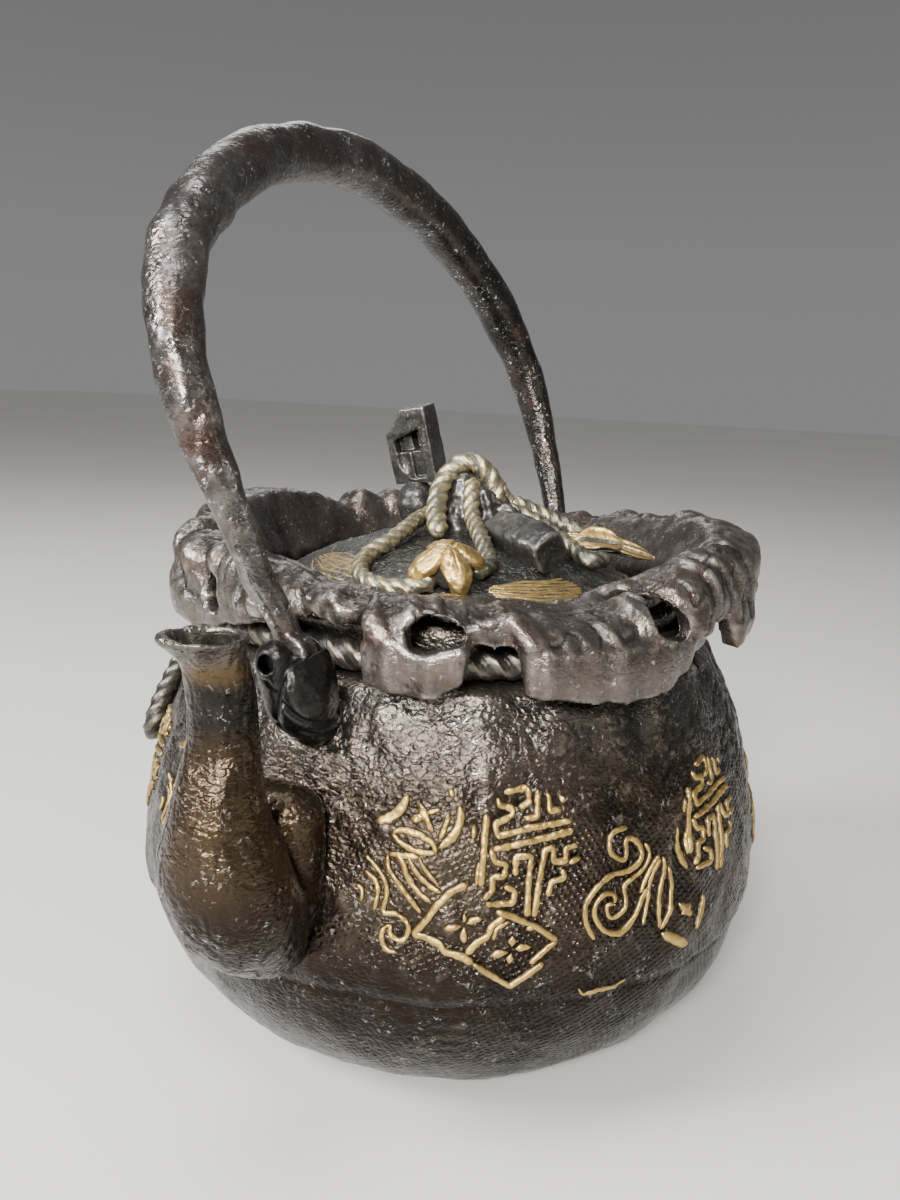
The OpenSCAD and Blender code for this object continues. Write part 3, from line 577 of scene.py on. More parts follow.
def vessel():
    cols = 560
    z = np.sort(np.concatenate([np.linspace(0.4, 6, 12), np.arange(6.8, SEAM_Z - 0.8, 0.8),
                                [SEAM_Z - 0.6, SEAM_Z, SEAM_Z + 0.5], np.arange(SEAM_Z + 1.2, SHOULDER_Z, 0.8),
                                [SHOULDER_Z]]))
    r = body_r_at(z)
    r -= 0.6 * np.exp(-((z - SEAM_Z) / 1.2) ** 2) + 0.7 * ease((SEAM_Z - z) / 0.8) * ease((z - SEAM_Z + 14) / 14)
    flat, _ = even([[0, 0], [FOOT_R - 1, 0]], 2.2, 2)
    neck, _ = even([[64, 100.2], [NECK_R, NECK_Z], [NECK_R, SEAT_Z - 0.8], [NECK_R - 0.8, SEAT_Z],
                    [MOUTH_R + 0.8, SEAT_Z], [MOUTH_R, SEAT_Z - 0.8]], 1.4, 2)
    line = np.vstack([flat, [[FOOT_R, 0]], np.stack([r, z], 1), neck])
    v, f = revolve(line, cols)
    # the inside has a quarter of the columns
    levels = (95, 88, 81, 74, 66, 58, 50, 42, 34, 26, 19, 13, 9, 7)
    inner = np.array([[MOUTH_R, SEAT_Z - 4], [MOUTH_R + 7, 107], [NECK_R - WALL, 103], [NECK_R - WALL, 98.5],
                      [NECK_R + 3, 97.2], *([float(body_r_at(q)) - WALL, q] for q in levels),
                      [FOOT_R - 2, WALL + 0.5], [24, WALL + 0.5], [0, WALL + 0.5]])
    n, few = len(v), cols // 4
    iv, jf = revolve(inner, few)
    f += [tuple(i + n for i in x) for x in jf]
    rim = n - cols
    for k in range(few):
        l = (k + 1) % few
        for j in range(4):
            f.append((rim + (4 * k + j) % cols, rim + (4 * k + j + 1) % cols, n + k))
        f.append((rim + (4 * k + 4) % cols, n + l, n + k))
    return build("vessel_cast", np.vstack([v, iv]), f)


def vessel_outer(co, no):
    out = np.hypot(co[:, 0], co[:, 1]) > body_r_at(co[:, 2]) - 1.6
    out &= (co[:, 2] > 0.5) & (co[:, 2] < NECK_Z + 1)
    h = np.zeros(len(co))
    h[out] = body_relief(co[out])
    return h


body = raised(vessel(), vessel_outer)
cut(body, build("pour_cutter", *tube(np.array([[-95.0, 0, 56], [-76, 0, 56], [-66, 0, 56]]), 7, 48)))
piece(worn(body, 10, 0.35), "kettle", "body_iron", BODY_IRON, "vessel")

# ---------------------------------------------------------------- spout
# Centre x, centre z and radius of the rings, outside and inside
SPOUT = [[-84, 40, 3], [-88.5, 43.5, 8], [-93.5, 51, 12.4], [-97, 60, 14.2], [-100.5, 70, 12.9], [-102, 79, 10.3],
         [-102, 87, 8.4], [-101, 95, 7.1], [-101.5, 103, 6.6], [-103.5, 110, 6.2], [-105.8, 114, 7],
         [-107.2, 116.3, 8.5]]
BORE = [[-93, 47.5, 8.5], [-95, 54, 11], [-97.5, 62, 12], [-100.5, 71, 10.6], [-102, 79, 8.4], [-102, 87, 6.7],
        [-101, 95, 5.5], [-101.5, 103, 5], [-103.3, 110, 4.7], [-105.2, 114, 5.6], [-106.8, 116.5, 6.9]]


def spout():
    sides = 132
    out, _ = even(curve(SPOUT, 14), 0.65, 2)
    inn, _ = even(curve(BORE, 8)[::-1], 1.0, 2)
    tip = np.array([[-107.4, 116.9, 8.2], [-107.3, 117.1, 7.6]])
    rows = np.vstack([out, tip, inn[1:]])
    a = np.linspace(0, TAU, sides, endpoint=False)
    v = np.stack([rows[:, :1] + rows[:, 2:] * np.cos(a), rows[:, 2:] * np.sin(a) + 0 * rows[:, :1],
                  rows[:, 1:2] + 0 * a], -1)
    skin = v[:len(out)].reshape(-1, 3)
    gap = (np.hypot(skin[:, 0], skin[:, 1]) - body_r_at(skin[:, 2])) * 0.95
    flare = 2.6 * np.clip(1 - gap / 5.0, 0, 1.1) ** 2.2
    side = np.stack([np.cos(a), np.sin(a)], 1)[None].repeat(len(out), 0).reshape(-1, 2)
    skin[:, :2] += side * flare[:, None]
    skin[:, 2] -= 0.5 * flare * np.clip((60 - skin[:, 2]) / 15, 0, 1)
    v[:len(out)] = skin.reshape(len(out), sides, 3)
    v = np.vstack([v.reshape(-1, 3), [rows[0, 0], 0, rows[0, 1]], [rows[-1, 0], 0, rows[-1, 1]]])
    f = grid_faces(len(rows), sides) + fan_faces(len(rows), sides, len(v) - 2, len(v) - 1)
    pad = hulled([ball(7, [-83, -3.5, 74]), ball(7, [-83, 3.5, 74]), ball(8.5, [-84, -3, 58]),
                  ball(8.5, [-84, 3, 58]), ball(8.5, [-84, 0, 51])], "pad")
    obj = build("spout_cast", v, f)
    return remesh(cut(obj, pad, "UNION"), 0.55, 9)


def spout_relief(co, no):
    q = co * [1, 1, 0.7]
    h = 0.9 * fbm(q / 13, 2, 41) + 0.22 * fbm(co / 4.2, 3, 43) + 0.08 * fbm(co / 1.5, 2, 44)
    h -= 0.25 * np.clip(1 - np.abs(gnoise(co / [3.5, 3.5, 9], 45)) / 0.08, 0, 1)
    lip = ease((co[:, 2] - 108) / 5)
    h += lip * 0.35 * fbm(co / 5, 2, 46)
    inside = np.hypot(co[:, 0] + 104, co[:, 1]) < 4
    return h * np.where(inside & (co[:, 2] > 105), 0.4, 1)


piece(worn(raised(spout(), spout_relief), 8, 0.25), "kettle", "spout_iron", SPOUT_IRON, "spout")

# ---------------------------------------------------------------- gathered mouth
# Angle, height and radius of the crest, radius and height of the hem
CUFF = np.array([
    [0, 125, 62, 70, 106], [12, 127, 63, 75, 103], [25, 128, 62, 76, 101], [38, 128, 64, 72, 106],
    [48, 129.5, 63, 74, 103], [58, 130, 62, 75, 100], [65, 126, 62, 71, 106], [74, 129, 61, 70, 108],
    [84, 131, 62, 72, 106], [100, 131, 62, 74, 104], [114, 129.5, 63, 74, 106], [124, 128, 64, 75, 102],
    [135, 126, 65, 75.5, 104], [146, 125, 64, 71, 103], [156, 123, 62, 70, 107], [168, 121, 61, 69, 110],
    [178, 119.5, 62, 69, 114], [188.5, 119, 63, 70, 114], [191, 119, 64, 75, 101], [196, 118.5, 64, 76, 100.5],
    [202, 119, 64, 76, 100], [206.5, 119, 64, 76, 102.5], [208.5, 119, 64, 74, 111], [215.5, 118, 64, 74, 111],
    [217.5, 117.8, 64, 76, 101], [226, 117, 64, 76.5, 98.5], [232, 116.8, 64, 76.5, 98.5], [239, 119, 64, 76, 98.5],
    [244, 120.8, 64, 76, 99.5], [248, 122.3, 64, 75.5, 102], [253, 125, 65, 75, 107], [258, 126.5, 65.5, 74, 112],
    [265, 128.5, 66, 74.5, 112], [270, 129.5, 67, 76.5, 104], [281, 130, 67, 77, 107], [289, 130.5, 66, 75, 110],
    [300, 131, 64, 73, 107], [310, 130.5, 64, 75, 104], [320, 129, 63, 73, 108], [330, 127.5, 63, 75, 103],
    [345, 126, 62, 74, 105], [360, 125, 62, 70, 106]])
CUFF_T = 4.2
UP = np.array([0, 0, 1.0])
# Angle, height, half width and half height of each hole
PIERCED = [[201.5, 113.3, 5.2, 4], [244, 115, 4.8, 4.3], [150, 113, 4, 4], [122, 116, 5, 4.5], [94, 115, 4.5, 4],
           [48, 113, 5, 4], [22, 112, 5, 4.5], [350, 112, 4, 5], [325, 115, 5, 4.5], [297, 117, 5, 4]]


def gathered_mouth():
    turns = 900
    a = np.linspace(0, 360, turns, endpoint=False)
    i = np.clip(np.searchsorted(CUFF[:, 0], a, "right") - 1, 0, len(CUFF) - 2)
    t = (a - CUFF[i, 0]) / (CUFF[i + 1, 0] - CUFF[i, 0])
    w = (0.5 - 0.5 * np.cos(np.pi * t))[:, None]
    _, cz, cr, er, ez = (CUFF[i] * (1 - w) + CUFF[i + 1] * w).T
    where = np.stack([np.cos(np.radians(a)), np.sin(np.radians(a)), 0 * a], 1)
    calm = 1 - 0.7 * np.exp(-((a - 218) / 34) ** 4)
    cz = cz - 1 + calm * 2.4 * fbm(where * 9, 2, 51)
    cr = cr + 1.6 * fbm(where * 6, 2, 52)
    er = er - CUFF_T / 2 + 1.6 * fbm(where * 10, 2, 53)
    ez = ez + 0.5 + 1.7 * fbm(where * 9, 2, 54)
    one = np.ones(turns)
    mid = cr + 0.55 * (er - cr)
    line = np.stack([np.stack([x, y], 1) for x, y in (
        (52.5 * one, SEAT_Z * one), (52.5 * one, np.minimum(115, cz - 3)),
        (54.5 * one, np.minimum(118.5, cz - 1.8)), (cr - 3.5, cz - 2.4), (cr, cz - 0.6),
        (mid + 1.5, cz - 2.5), (er - 0.5, cz + 0.4 * (ez - cz)), (er, cz + 0.72 * (ez - cz)), (er - 1, ez))], 1)
    dense = np.stack([curve(row, 6) for row in line])
    tang = np.gradient(dense, axis=1)
    tang /= np.linalg.norm(tang, axis=2, keepdims=True)
    nor = np.stack([-tang[..., 1], tang[..., 0]], -1)
    share = np.linspace(0, 1, dense.shape[1])
    thick = CUFF_T / 2 * (1 + 0.12 * np.sin(9 * share))[None, :, None]
    ring = np.concatenate([dense - nor * thick, (dense + nor * thick)[:, ::-1]], 1)
    v = np.stack([ring[..., 0] * where[:, None, 0], ring[..., 0] * where[:, None, 1], ring[..., 1]], -1)
    m, n = ring.shape[:2]
    obj = build("mouth_cast", v.reshape(-1, 3), grid_faces(m, n, close=True), flip=True)
    for k, (at, z, half_w, half_h) in enumerate(PIERCED):
        q = np.radians(at)
        out, side = np.array([np.cos(q), np.sin(q), 0]), np.array([-np.sin(q), np.cos(q), 0])
        b = np.linspace(0, TAU, 40, endpoint=False)
        r = 1 + 0.22 * np.cos(2 * b + k * 1.7) * 0.6 + 0.12 * np.cos(3 * b + k)
        edge = side * (half_w * 0.98 * r * np.cos(b))[:, None] + UP * (half_h * r * np.sin(b))[:, None]
        rows = [out * d + edge * s + [0, 0, z] for d, s in ((56.5, 1.0), (68, 0.95), (90, 1.25))]
        cv = np.vstack(rows + [[out * 56.5 + [0, 0, z]], [out * 90 + [0, 0, z]]])
        cut(obj, build("hole", cv, grid_faces(3, 40) + fan_faces(3, 40, 120, 121)))
    return remesh(obj, 0.75, 5)


def mouth_relief(co, no):
    r = np.hypot(co[:, 0], co[:, 1])
    a = np.arctan2(co[:, 1], co[:, 0])
    outer = ease((r - 57) / 9)
    lean_ = co[:, 2] / 30
    around = np.stack([np.cos(a + 0.25 * lean_) * 11, np.sin(a + 0.25 * lean_) * 11, lean_], 1)
    fold = gnoise(around * 0.85, 61) + 0.3 * gnoise(around * [1.9, 1.9, 1.4], 66)
    h = outer * (2.6 * np.abs(fold) ** 0.8 * np.sign(fold))
    h += 1.6 * fbm(co / 11, 2, 62) + 0.16 * fbm(co / 4, 2, 67) + 0.05 * fbm(co / 1.8, 2, 63)
    h -= 0.5 * np.clip(1 - np.abs(gnoise(co / [6, 6, 11], 64)) / 0.07, 0, 1) * outer
    deg = np.degrees(a) % 360
    rib = np.exp(-((deg - 112) / 24) ** 2) * ease((64 - r) / 4) * ease((co[:, 2] - 113) / 5)
    h += rib * 0.7 * np.cos(np.radians(deg) * 64 / 2.6)
    return h * ease((co[:, 2] - SEAT_Z - 0.4) / 2 + (r > 56))


piece(worn(raised(gathered_mouth(), mouth_relief), 8, 0.3), "kettle", "mouth_iron", MOUTH_IRON, "gathered_mouth")


# ---------------------------------------------------------------- ropes
def rope(path, radius, pitch, strands=3, sides=40, up=(0, 0, 1), swell=None):
    """A twisted rope of several strands along a path; the wear mark is 0 in the lay and 1 on the strands."""
    path, s = even(path, max(0.22, radius * 0.12))
    a = np.linspace(0, TAU, sides, endpoint=False)[None, :]
    turn = TAU * s[:, None] / pitch
    off, rad = 0.5, 0.54
    r = np.zeros((len(path), sides))
    for k in range(strands):
        d = (a - turn - TAU * k / strands + np.pi) % TAU - np.pi
        inside = rad ** 2 - (off * np.sin(d)) ** 2
        strand = off * np.cos(d) + np.sqrt(np.maximum(inside, 0))
        r = np.maximum(r, np.where((inside > 0) & (np.cos(d) > -0.2), strand, 0))
    r = np.maximum(r, 0.6)
    mark_ = np.clip((r - 0.72) / 0.3, 0, 1)
    r = np.maximum(r, 0.91) + 0.03 * np.cos(9 * a - 12 * turn)
    r = r * radius / 1.06
    if swell is not None:
        r = r * np.interp(np.linspace(0, 1, len(path)), np.linspace(0, 1, len(swell)), swell)[:, None]
    ends = np.minimum(1, np.sqrt(np.clip(np.minimum(s, s[-1] - s) / radius + 0.15, 0, 1)))
    r = r * ends[:, None]
    v, f = tube(path, r, sides, up)
    mark_v = np.concatenate([mark_.ravel(), [0.5, 0.5]])
    return v, f, mark_v


def roped(name, routes, body_name, slot, material, node, relief=0.12, **kw):
    made = [rope(route, **kw) for route in routes]
    obj = joined([(v, f) for v, f, m in made], name)
    mark(obj, np.concatenate([m for v, f, m in made]))
    raised(obj, lambda co, no: relief * fbm(co / 1.6, 2, 71))
    return piece(obj, body_name, slot, material, node)


CORD_R = 1.9
LID_R, RIM_Z, DOME = 45.3, 114.5, 12.0


def dome_z(r):
    return RIM_Z + DOME * (1 - (r / LID_R) ** 2)


def over_dome(points):
    """A curve through x, y and height over the lid."""
    q = curve(points, 10)
    return np.stack([q[:, 0], q[:, 1], dome_z(np.hypot(q[:, 0], q[:, 1])) + q[:, 2]], 1)


def on_skin(points, s):
    """A curve through angle, height and distance out from the body; s = -1 mirrors it."""
    q = curve(points, 8)
    r = body_r_at(q[:, 1]) + q[:, 2]
    a = np.radians(90 + s * (q[:, 0] - 90))
    return np.stack([r * np.cos(a), r * np.sin(a), q[:, 1]], 1)


ring_a = np.linspace(0, TAU, 800)
neck = np.stack([61.5 * np.cos(ring_a), 61.5 * np.sin(ring_a), 104.6 + 0.35 * np.sin(5 * ring_a)], 1)
roped("neck_rope", [neck], "kettle", "bronze_cord", BRONZE_CORD, "neck_cord", radius=3.7, pitch=15, sides=44)
BOW_LOOP = [[91, 97, 4], [98, 96, 4.5], [107, 89, 4], [115, 79, 3.6], [119, 71.5, 3.6], [117, 66.5, 3.6],
            [112, 69, 3.6], [107, 79, 3.6], [100, 90, 3.8], [93, 95, 4]]
BOW_TAIL = [[92, 93, 3.5], [96, 84, 3.5], [95, 72, 3.4], [98, 60, 3.4], [96, 50, 3.4]]
roped("bow_rope_loops", [on_skin(BOW_LOOP, s) for s in (-1, 1)], "kettle", "bronze_cord", BRONZE_CORD, "bow_loops",
      radius=2.95, pitch=12, up=(0, 1, 0.1))
tassel = [1, 1, 1, 1, 1, 1, 1, 0.8, 1.3, 1.55, 1.6, 1.5]
roped("bow_rope_tails", [on_skin(BOW_TAIL, s) for s in (-1, 1)], "kettle", "bronze_cord", BRONZE_CORD, "bow_tails",
      radius=2.6, pitch=11, up=(0, 1, 0.1), swell=tassel)
knot_at = np.array([0, float(body_r_at(97)) + 2.5, 97])
k = np.linspace(0, TAU, 60)
wraps = (np.stack([4.4 * np.cos(k) * 0.8, 0.8 * np.sin(2 * k) + 1.2, 3.6 * np.sin(k)], 1),
         [[-4.2, 0.4, -2.5], [-2, 2.6, -1], [0, 3.2, 0.2], [2, 2.8, 1.4], [4.2, 0.4, 2.6]],
         [[-3.6, 0, 3], [-1.6, 2.2, 2.6], [1, 2.3, 2.9], [3.8, 0.2, 3.4]],
         [[-3.8, 0, -3.4], [-1, 2.0, -3.1], [1.6, 2.0, -3.3], [3.6, 0, -2.8]])
roped("bow_rope_knot", [curve(knot_at + np.array(w), 3) for w in wraps], "kettle", "bronze_cord", BRONZE_CORD,
      "bow_knot", radius=2.2, pitch=9, up=(0.1, 1, 0.1))

# Cords over the lid: x, y and height over the dome
LEFT_LOOP = [[2, 7, 4.5], [-8, 7.5, 3.6], [-24, 7, 2.6], [-33, 9.5, 2.2], [-40, 7.5, 2.2], [-44.5, 2, 2.6],
             [-45.5, -5, 3], [-43.5, -10, 3], [-40, -13, 3.4]]
FRONT_STRAND = [[-1, -3, 13], [-4, -4, 9.5], [-9, -7, 4.6], [-20, -15.5, 2.6], [-27, -20.5, 2.2], [-34, -19.5, 3]]
CROWN_FRONT = [[-20, -3, 2.6], [-12, 2, 5.6], [-5, 4.5, 11], [-1, 2.5, 15.8], [1.5, -2, 17], [3.5, -6, 13],
               [3.5, -9, 6]]
CROWN_BACK = [[4, 8, 4.5], [4, 5, 10.5], [5, 1.5, 15.4], [6, -3, 15.2], [7.5, -7, 10], [7, -11, 5.5]]
RIGHT_LOW = [[4, -10, 6], [6, -15, 5.4], [5.5, -22, 3.8], [2, -30, 2.8], [-2, -36.5, 3], [4, -40, 4.8]]
RIGHT_HIGH = [[7, -10, 8], [12, -17, 6.5], [13.5, -24, 5.8], [11.5, -31.5, 5]]
for name, routes, up, thick, node in (
        ("lid_rope_left", [LEFT_LOOP], (0.3, 0.2, 1), 1.16, "cord_left_loop"),
        ("lid_rope_front", [FRONT_STRAND], (0.6, -0.8, 0.3), 1.18, "cord_front_strand"),
        ("lid_rope_crown_front", [CROWN_FRONT], (1, 0.3, 0.1), 1.42, "cord_crown_front"),
        ("lid_rope_crown_back", [CROWN_BACK], (1, 0.1, 0.1), 1.34, "cord_crown_back"),
        ("lid_rope_right", [RIGHT_LOW, RIGHT_HIGH], (0.3, 0.2, 1), 1.2, "cord_right_strands")):
    roped(name, [over_dome(q) for q in routes], "lid", "gilt_cord", GILT_CORD, node, radius=CORD_R * thick,
          pitch=9 * thick, up=up, relief=0.3)


# ---------------------------------------------------------------- handle and lugs
PIVOT_X, PIVOT_Z, RISE, GRIP, LEAN = 78, 107, 121, 14, math.radians(19.5)
PIN_R, EYE_R, EYE_T, SLOT_GAP = 2, 4.6, 6, 0.5
# Half arch: x and rise as shares of the pivot distance and the rise, then thickness as a share of GRIP
ARCH = [[1, 0, 0.41], [1.002, 0.04, 0.42], [1.025, 0.09, 0.445], [1.07, 0.18, 0.505], [1.12, 0.34, 0.63],
        [1.135, 0.47, 0.74], [1.11, 0.58, 0.825], [1.055, 0.665, 0.88], [0.97, 0.745, 0.92],
        [0.73, 0.87, 0.96], [0.45, 0.953, 0.985], [0, 1, 1]]


def leaned(v):
    c, s = math.cos(LEAN), math.sin(LEAN)
    y, z = v[:, 1], v[:, 2] - PIVOT_Z
    return np.stack([v[:, 0], y * c + z * s, -y * s + z * c + PIVOT_Z], 1)


def handle():
    half = [[-x, z, r] for x, z, r in ARCH]
    other = [list(q) for q in ARCH[-2::-1]]
    line = curve(half + other, 10)
    path = np.stack([line[:, 0] * PIVOT_X, 0 * line[:, 0], line[:, 1] * RISE + PIVOT_Z], 1)
    path, s = even(np.column_stack([path, line[:, 2]]), 0.6)
    path, share = path[:, :3], path[:, 3]
    a = np.linspace(0, TAU, 64, endpoint=False)
    facet = 1 + 0.035 * np.cos(3 * a[None] + 0.02 * s[:, None]) + 0.02 * np.cos(5 * a[None] - 0.03 * s[:, None])
    bar = tube(path, share[:, None] * GRIP / 2 * facet, 64, (0, 1, 0))
    parts = [(leaned(bar[0]), bar[1])]
    for x in (-PIVOT_X, PIVOT_X):
        parts.append(rod(x - EYE_T / 2 + 0.15, x + EYE_T / 2 - 0.15, EYE_R + 0.05, 0, PIVOT_Z))
    obj = remesh(joined(parts, "handle_forged"), 0.62, 3)

    def relief(co, no):
        up = ease((np.hypot(co[:, 1], co[:, 2] - PIVOT_Z) - 9) / 10)
        front = ease((-co[:, 0] - 20) / 30)
        h = 1.2 * fbm(co / 19, 2, 81) + 0.34 * fbm(co / 7, 2, 82) * (0.5 + 0.8 * front) + 0.1 * fbm(co / 2.3, 2, 83)
        knuckle = gnoise(co / [14, 14, 9], 84)
        h += front * 1.6 * np.clip(knuckle - 0.08, 0, 1)
        near, _ = cells(co / 5.5, 85)
        h -= 0.35 * np.clip(1 - near / 0.24, 0, 1) ** 2
        return h * up
    raised(obj, relief)
    for x in (-PIVOT_X, PIVOT_X):
        cut(obj, build("pin_cutter", *rod(x - 6, x + 6, PIN_R + 0.06, 0, PIVOT_Z)))
    return obj


piece(worn(handle(), 7, 0.22), "handle", "handle_iron", HANDLE_IRON, "handle")


def prism(poly, x0, x1):
    """A bar along X whose section is given as y, z points."""
    n = len(poly)
    v = [(x, y, z) for x in (x0, x1) for y, z in poly]
    f = [tuple(range(n))[::-1], tuple(range(n, 2 * n))]
    f += [(k, (k + 1) % n, n + (k + 1) % n, n + k) for k in range(n)]
    return np.array(v, float), f


def lug(name, s):
    """The front lug; s = 1 mirrors it to the rear."""
    parts = [ball(4.6, [-84, 0, 107]), rod(-77.5, -74.5, 8, 0, 104), ball(7.1, [-80, -2.5, 98.5]),
             ball(6.1, [-72, -1.5, 92])]
    obj = remesh(hulled(parts, name), 0.7, 3)
    slot = PIVOT_X + EYE_T / 2 + SLOT_GAP
    wide = EYE_T + 2 * SLOT_GAP
    grow = 20 * math.tan(math.radians(22))
    for tool in (rod(-slot, -slot + wide, EYE_R + 0.6, 0, PIVOT_Z),
                 prism([(-5.2, PIVOT_Z), (5.2, PIVOT_Z), (5.2 + grow, PIVOT_Z + 20), (-5.2 - grow, PIVOT_Z + 20)],
                       -slot, -slot + wide),
                 prism([(-5.6, 108), (5.6, 108), (5.6 + grow, 128), (-5.6 - grow, 128)], -84.3, -74.2),
                 rod(-92, -68, PIN_R, 0, PIVOT_Z)):
        cut(obj, build("cutter", *tool))
    remesh(obj, 0.42, 4)

    def relief(co, no):
        h = 0.6 * fbm(co / 8, 2, 91) + 0.22 * fbm(co / 3, 2, 92)
        mid = co[:, 1] + 2.2 + 0.25 * (co[:, 2] - 98)
        vein = np.exp(-(mid / 0.8) ** 2)
        for q, lean_ in ((-4, 0.5), (2.5, 0.9)):
            ray = (co[:, 2] - 98 - q) - lean_ * mid
            vein = np.maximum(vein, 0.8 * np.exp(-(ray / 0.8) ** 2))
        eye = (co[:, 2] > 100.5) & (co[:, 0] > -82.3) & (co[:, 0] < -73.7)
        bore = np.hypot(co[:, 1], co[:, 2] - PIVOT_Z) < PIN_R + 1.2
        return np.where(eye | bore, 0, h - 0.8 * vein * (no[:, 0] < 0.3))
    raised(obj, relief)
    worn(obj, 7, 0.25)
    if s > 0:
        place(obj, coords(obj) * [-1, 1, 1])
        obj.data.flip_normals()
    return obj


piece(lug("front_lug_cast", -1), "kettle", "lug_iron", LUG_IRON, "front_lug")
piece(lug("rear_lug_cast", 1), "kettle", "lug_iron", LUG_IRON, "rear_lug")

# ---------------------------------------------------------------- lid
BEAD = np.array([13, 21])
BEAD_Z = 130


def lid():
    top = np.array([[r, dome_z(r)] for r in np.concatenate([np.arange(0, LID_R - 0.8, 0.55), [LID_R - 0.5]])])
    rim = [[LID_R, RIM_Z - 0.3], [LID_R, SEAT_Z + 0.8], [LID_R - 0.3, SEAT_Z + 0.25], [LID_R - 0.8, SEAT_Z],
           [MOUTH_R, SEAT_Z], [MOUTH_R, dome_z(MOUTH_R) - 3]]
    under = [[r, dome_z(r) - 3] for r in (36, 30, 24, 18, 12, 6, 0)]
    v, f = revolve(np.vstack([top, rim, under]), 420)
    obj = build("lid_cast", v, f, flip=True)

    def relief(co, no):
        up = (no[:, 2] > 0.3) & (co[:, 2] > SEAT_Z + 1.5)
        r = np.hypot(co[:, 0], co[:, 1])
        a = np.degrees(np.arctan2(co[:, 1], co[:, 0])) % 360
        h = 0.5 * fbm(co / 9, 2, 101) + 0.32 * fbm(co / 2.4, 3, 102)
        near, _ = cells(co / 1.7, 103)
        h += 0.12 * np.clip(1 - near, 0, 1)
        back = ease((r - 29) / 2.5) * (ease((a - 40) / 4) * ease((112 - a) / 4))
        h += 0.18 * back * np.cos(r * 3.4)
        h -= 0.35 * np.exp(-((r - LID_R + 1.9) / 0.45) ** 2)
        return np.where(up, h * ease((r - 1) / 4), 0)
    return raised(obj, relief)


piece(worn(lid(), 8, 0.16), "lid", "lid_bronze", LID_BRONZE, "lid_plate")

peak = hulled([ball(3.3, [0, 0, 138]), ball(7, [0, 0, 126.5]), ball(4.6, [7, -14, 126.5])], "knob_folds")
peak = remesh(peak, 0.5, 4)


def peak_relief(co, no):
    a = np.arctan2(co[:, 1] + 4, co[:, 0] - 2)
    fold = 0.4 * np.cos(9 * a + 0.25 * co[:, 2] + 3 * gnoise(co / 9, 113)) + 1.3 * fbm(co / 4.5, 2, 111)
    return fold * ease((138 - co[:, 2]) / 5) + 0.45 * fbm(co / 1.8, 2, 112)


piece(worn(raised(peak, peak_relief), 6, 0.3), "lid", "knob_metal", KNOB_METAL, "knob_peak")


def turned(rot, centre, v):
    m = np.eye(3)
    for axis, deg in zip("XYZ", rot):
        m = np.array(Matrix.Rotation(math.radians(deg), 3, axis)) @ m
    return v @ m.T + centre


# Bud: a ball under a cap of four creased petals with drooping tips
v, f = ball(1, [0, 0, 0], 110)
direction = v / np.linalg.norm(v, axis=1, keepdims=True)
lift = np.degrees(np.arcsin(np.clip(direction[:, 2], -1, 1)))
a = np.arctan2(direction[:, 1], direction[:, 0])
off = np.degrees(np.abs((a + TAU / 8) % (TAU / 4) - TAU / 8))
half = 20 + 32 * ease((lift + 24) / 60)
ridge = np.clip(1 - off / half, 0, 1) * ease((lift + 26) / 9)
petal = ease(ridge * 2.4)
radius = 5.2 + petal * (1.2 + 3.0 * ease((50 - lift) / 60) * ridge ** 0.45) + 0.3 * ridge
radius -= 0.3 * np.exp(-(off / 2.2) ** 2) * np.clip(direction[:, 2], 0, 1)
v = direction * radius[:, None] * [1, 1, 0.92]
bud = build("bud", turned([12, -20, 0], [-37, -14.5, 121.9], turned([0, 0, 47], [0, 0, 0], v)), f)
raised(bud, lambda co, no: 0.7 * fbm(co / 4, 2, 121) + 0.16 * fbm(co / 1.1, 2, 122))
mark(bud, np.clip(0.1 + 0.7 * petal + 0.25 * ridge, 0, 1))
piece(bud, "lid", "gilt", GILT_BRIGHT, "gilt_bud")


def leaf(name, length, width, thick, rot, centre, cup, lines, node):
    rows, cols = 96, 56
    s, t = np.meshgrid(np.linspace(0, 1, rows), np.linspace(-1, 1, cols), indexing="ij")
    bow = np.sin(np.pi * np.clip(s, 0.004, 0.996))
    half = 0.5 * width * bow ** 0.8 * (1 + 0.1 * np.sin(8 * s))
    x = (s - 0.5) * length
    y = half * t
    rim = np.exp(-((np.abs(t) - 0.86) / 0.1) ** 2)
    z = cup * t ** 2 * bow + 0.3 * rim * bow + 0.5 * bow
    z -= 0.32 * np.cos(np.pi * lines * t) * bow * (1 - t ** 2) + 0.3 * np.exp(-(t / 0.08) ** 2) * bow
    z += 0.3 * np.sin(7 * s + 2 * t)
    edge = thick * 0.5 * np.sqrt(np.clip(1 - t ** 4, 0, 1)) * np.sin(np.pi * np.clip(s, 0.02, 0.98)) ** 0.4
    top = np.stack([x, y, z + edge], -1).reshape(-1, 3)
    low = np.stack([x, y, z * 0.5 - edge], -1).reshape(-1, 3)
    f = grid_faces(rows, cols, wrap=False)
    n = rows * cols
    faces = [q[::-1] for q in f] + [tuple(i + n for i in q) for q in f]
    loop = ([i * cols for i in range(rows)] + [(rows - 1) * cols + j for j in range(1, cols)]
            + [i * cols + cols - 1 for i in range(rows - 2, -1, -1)] + [j for j in range(cols - 2, 0, -1)])
    for p, q in zip(loop, loop[1:] + loop[:1]):
        faces.append((p, q, q + n, p + n))
    obj = build(name, turned(rot, centre, np.vstack([top, low])), faces, flip=True)
    raised(obj, lambda co, no: 0.16 * fbm(co / 2.2, 2, 131))
    shade = np.clip(0.5 + 0.5 * rim - 0.42 * np.cos(np.pi * lines * t) * (1 - rim), 0, 1).ravel()
    mark(obj, np.concatenate([shade, shade * 0.1]))
    return piece(obj, "lid", "gilt", GILT_BRIGHT, node)


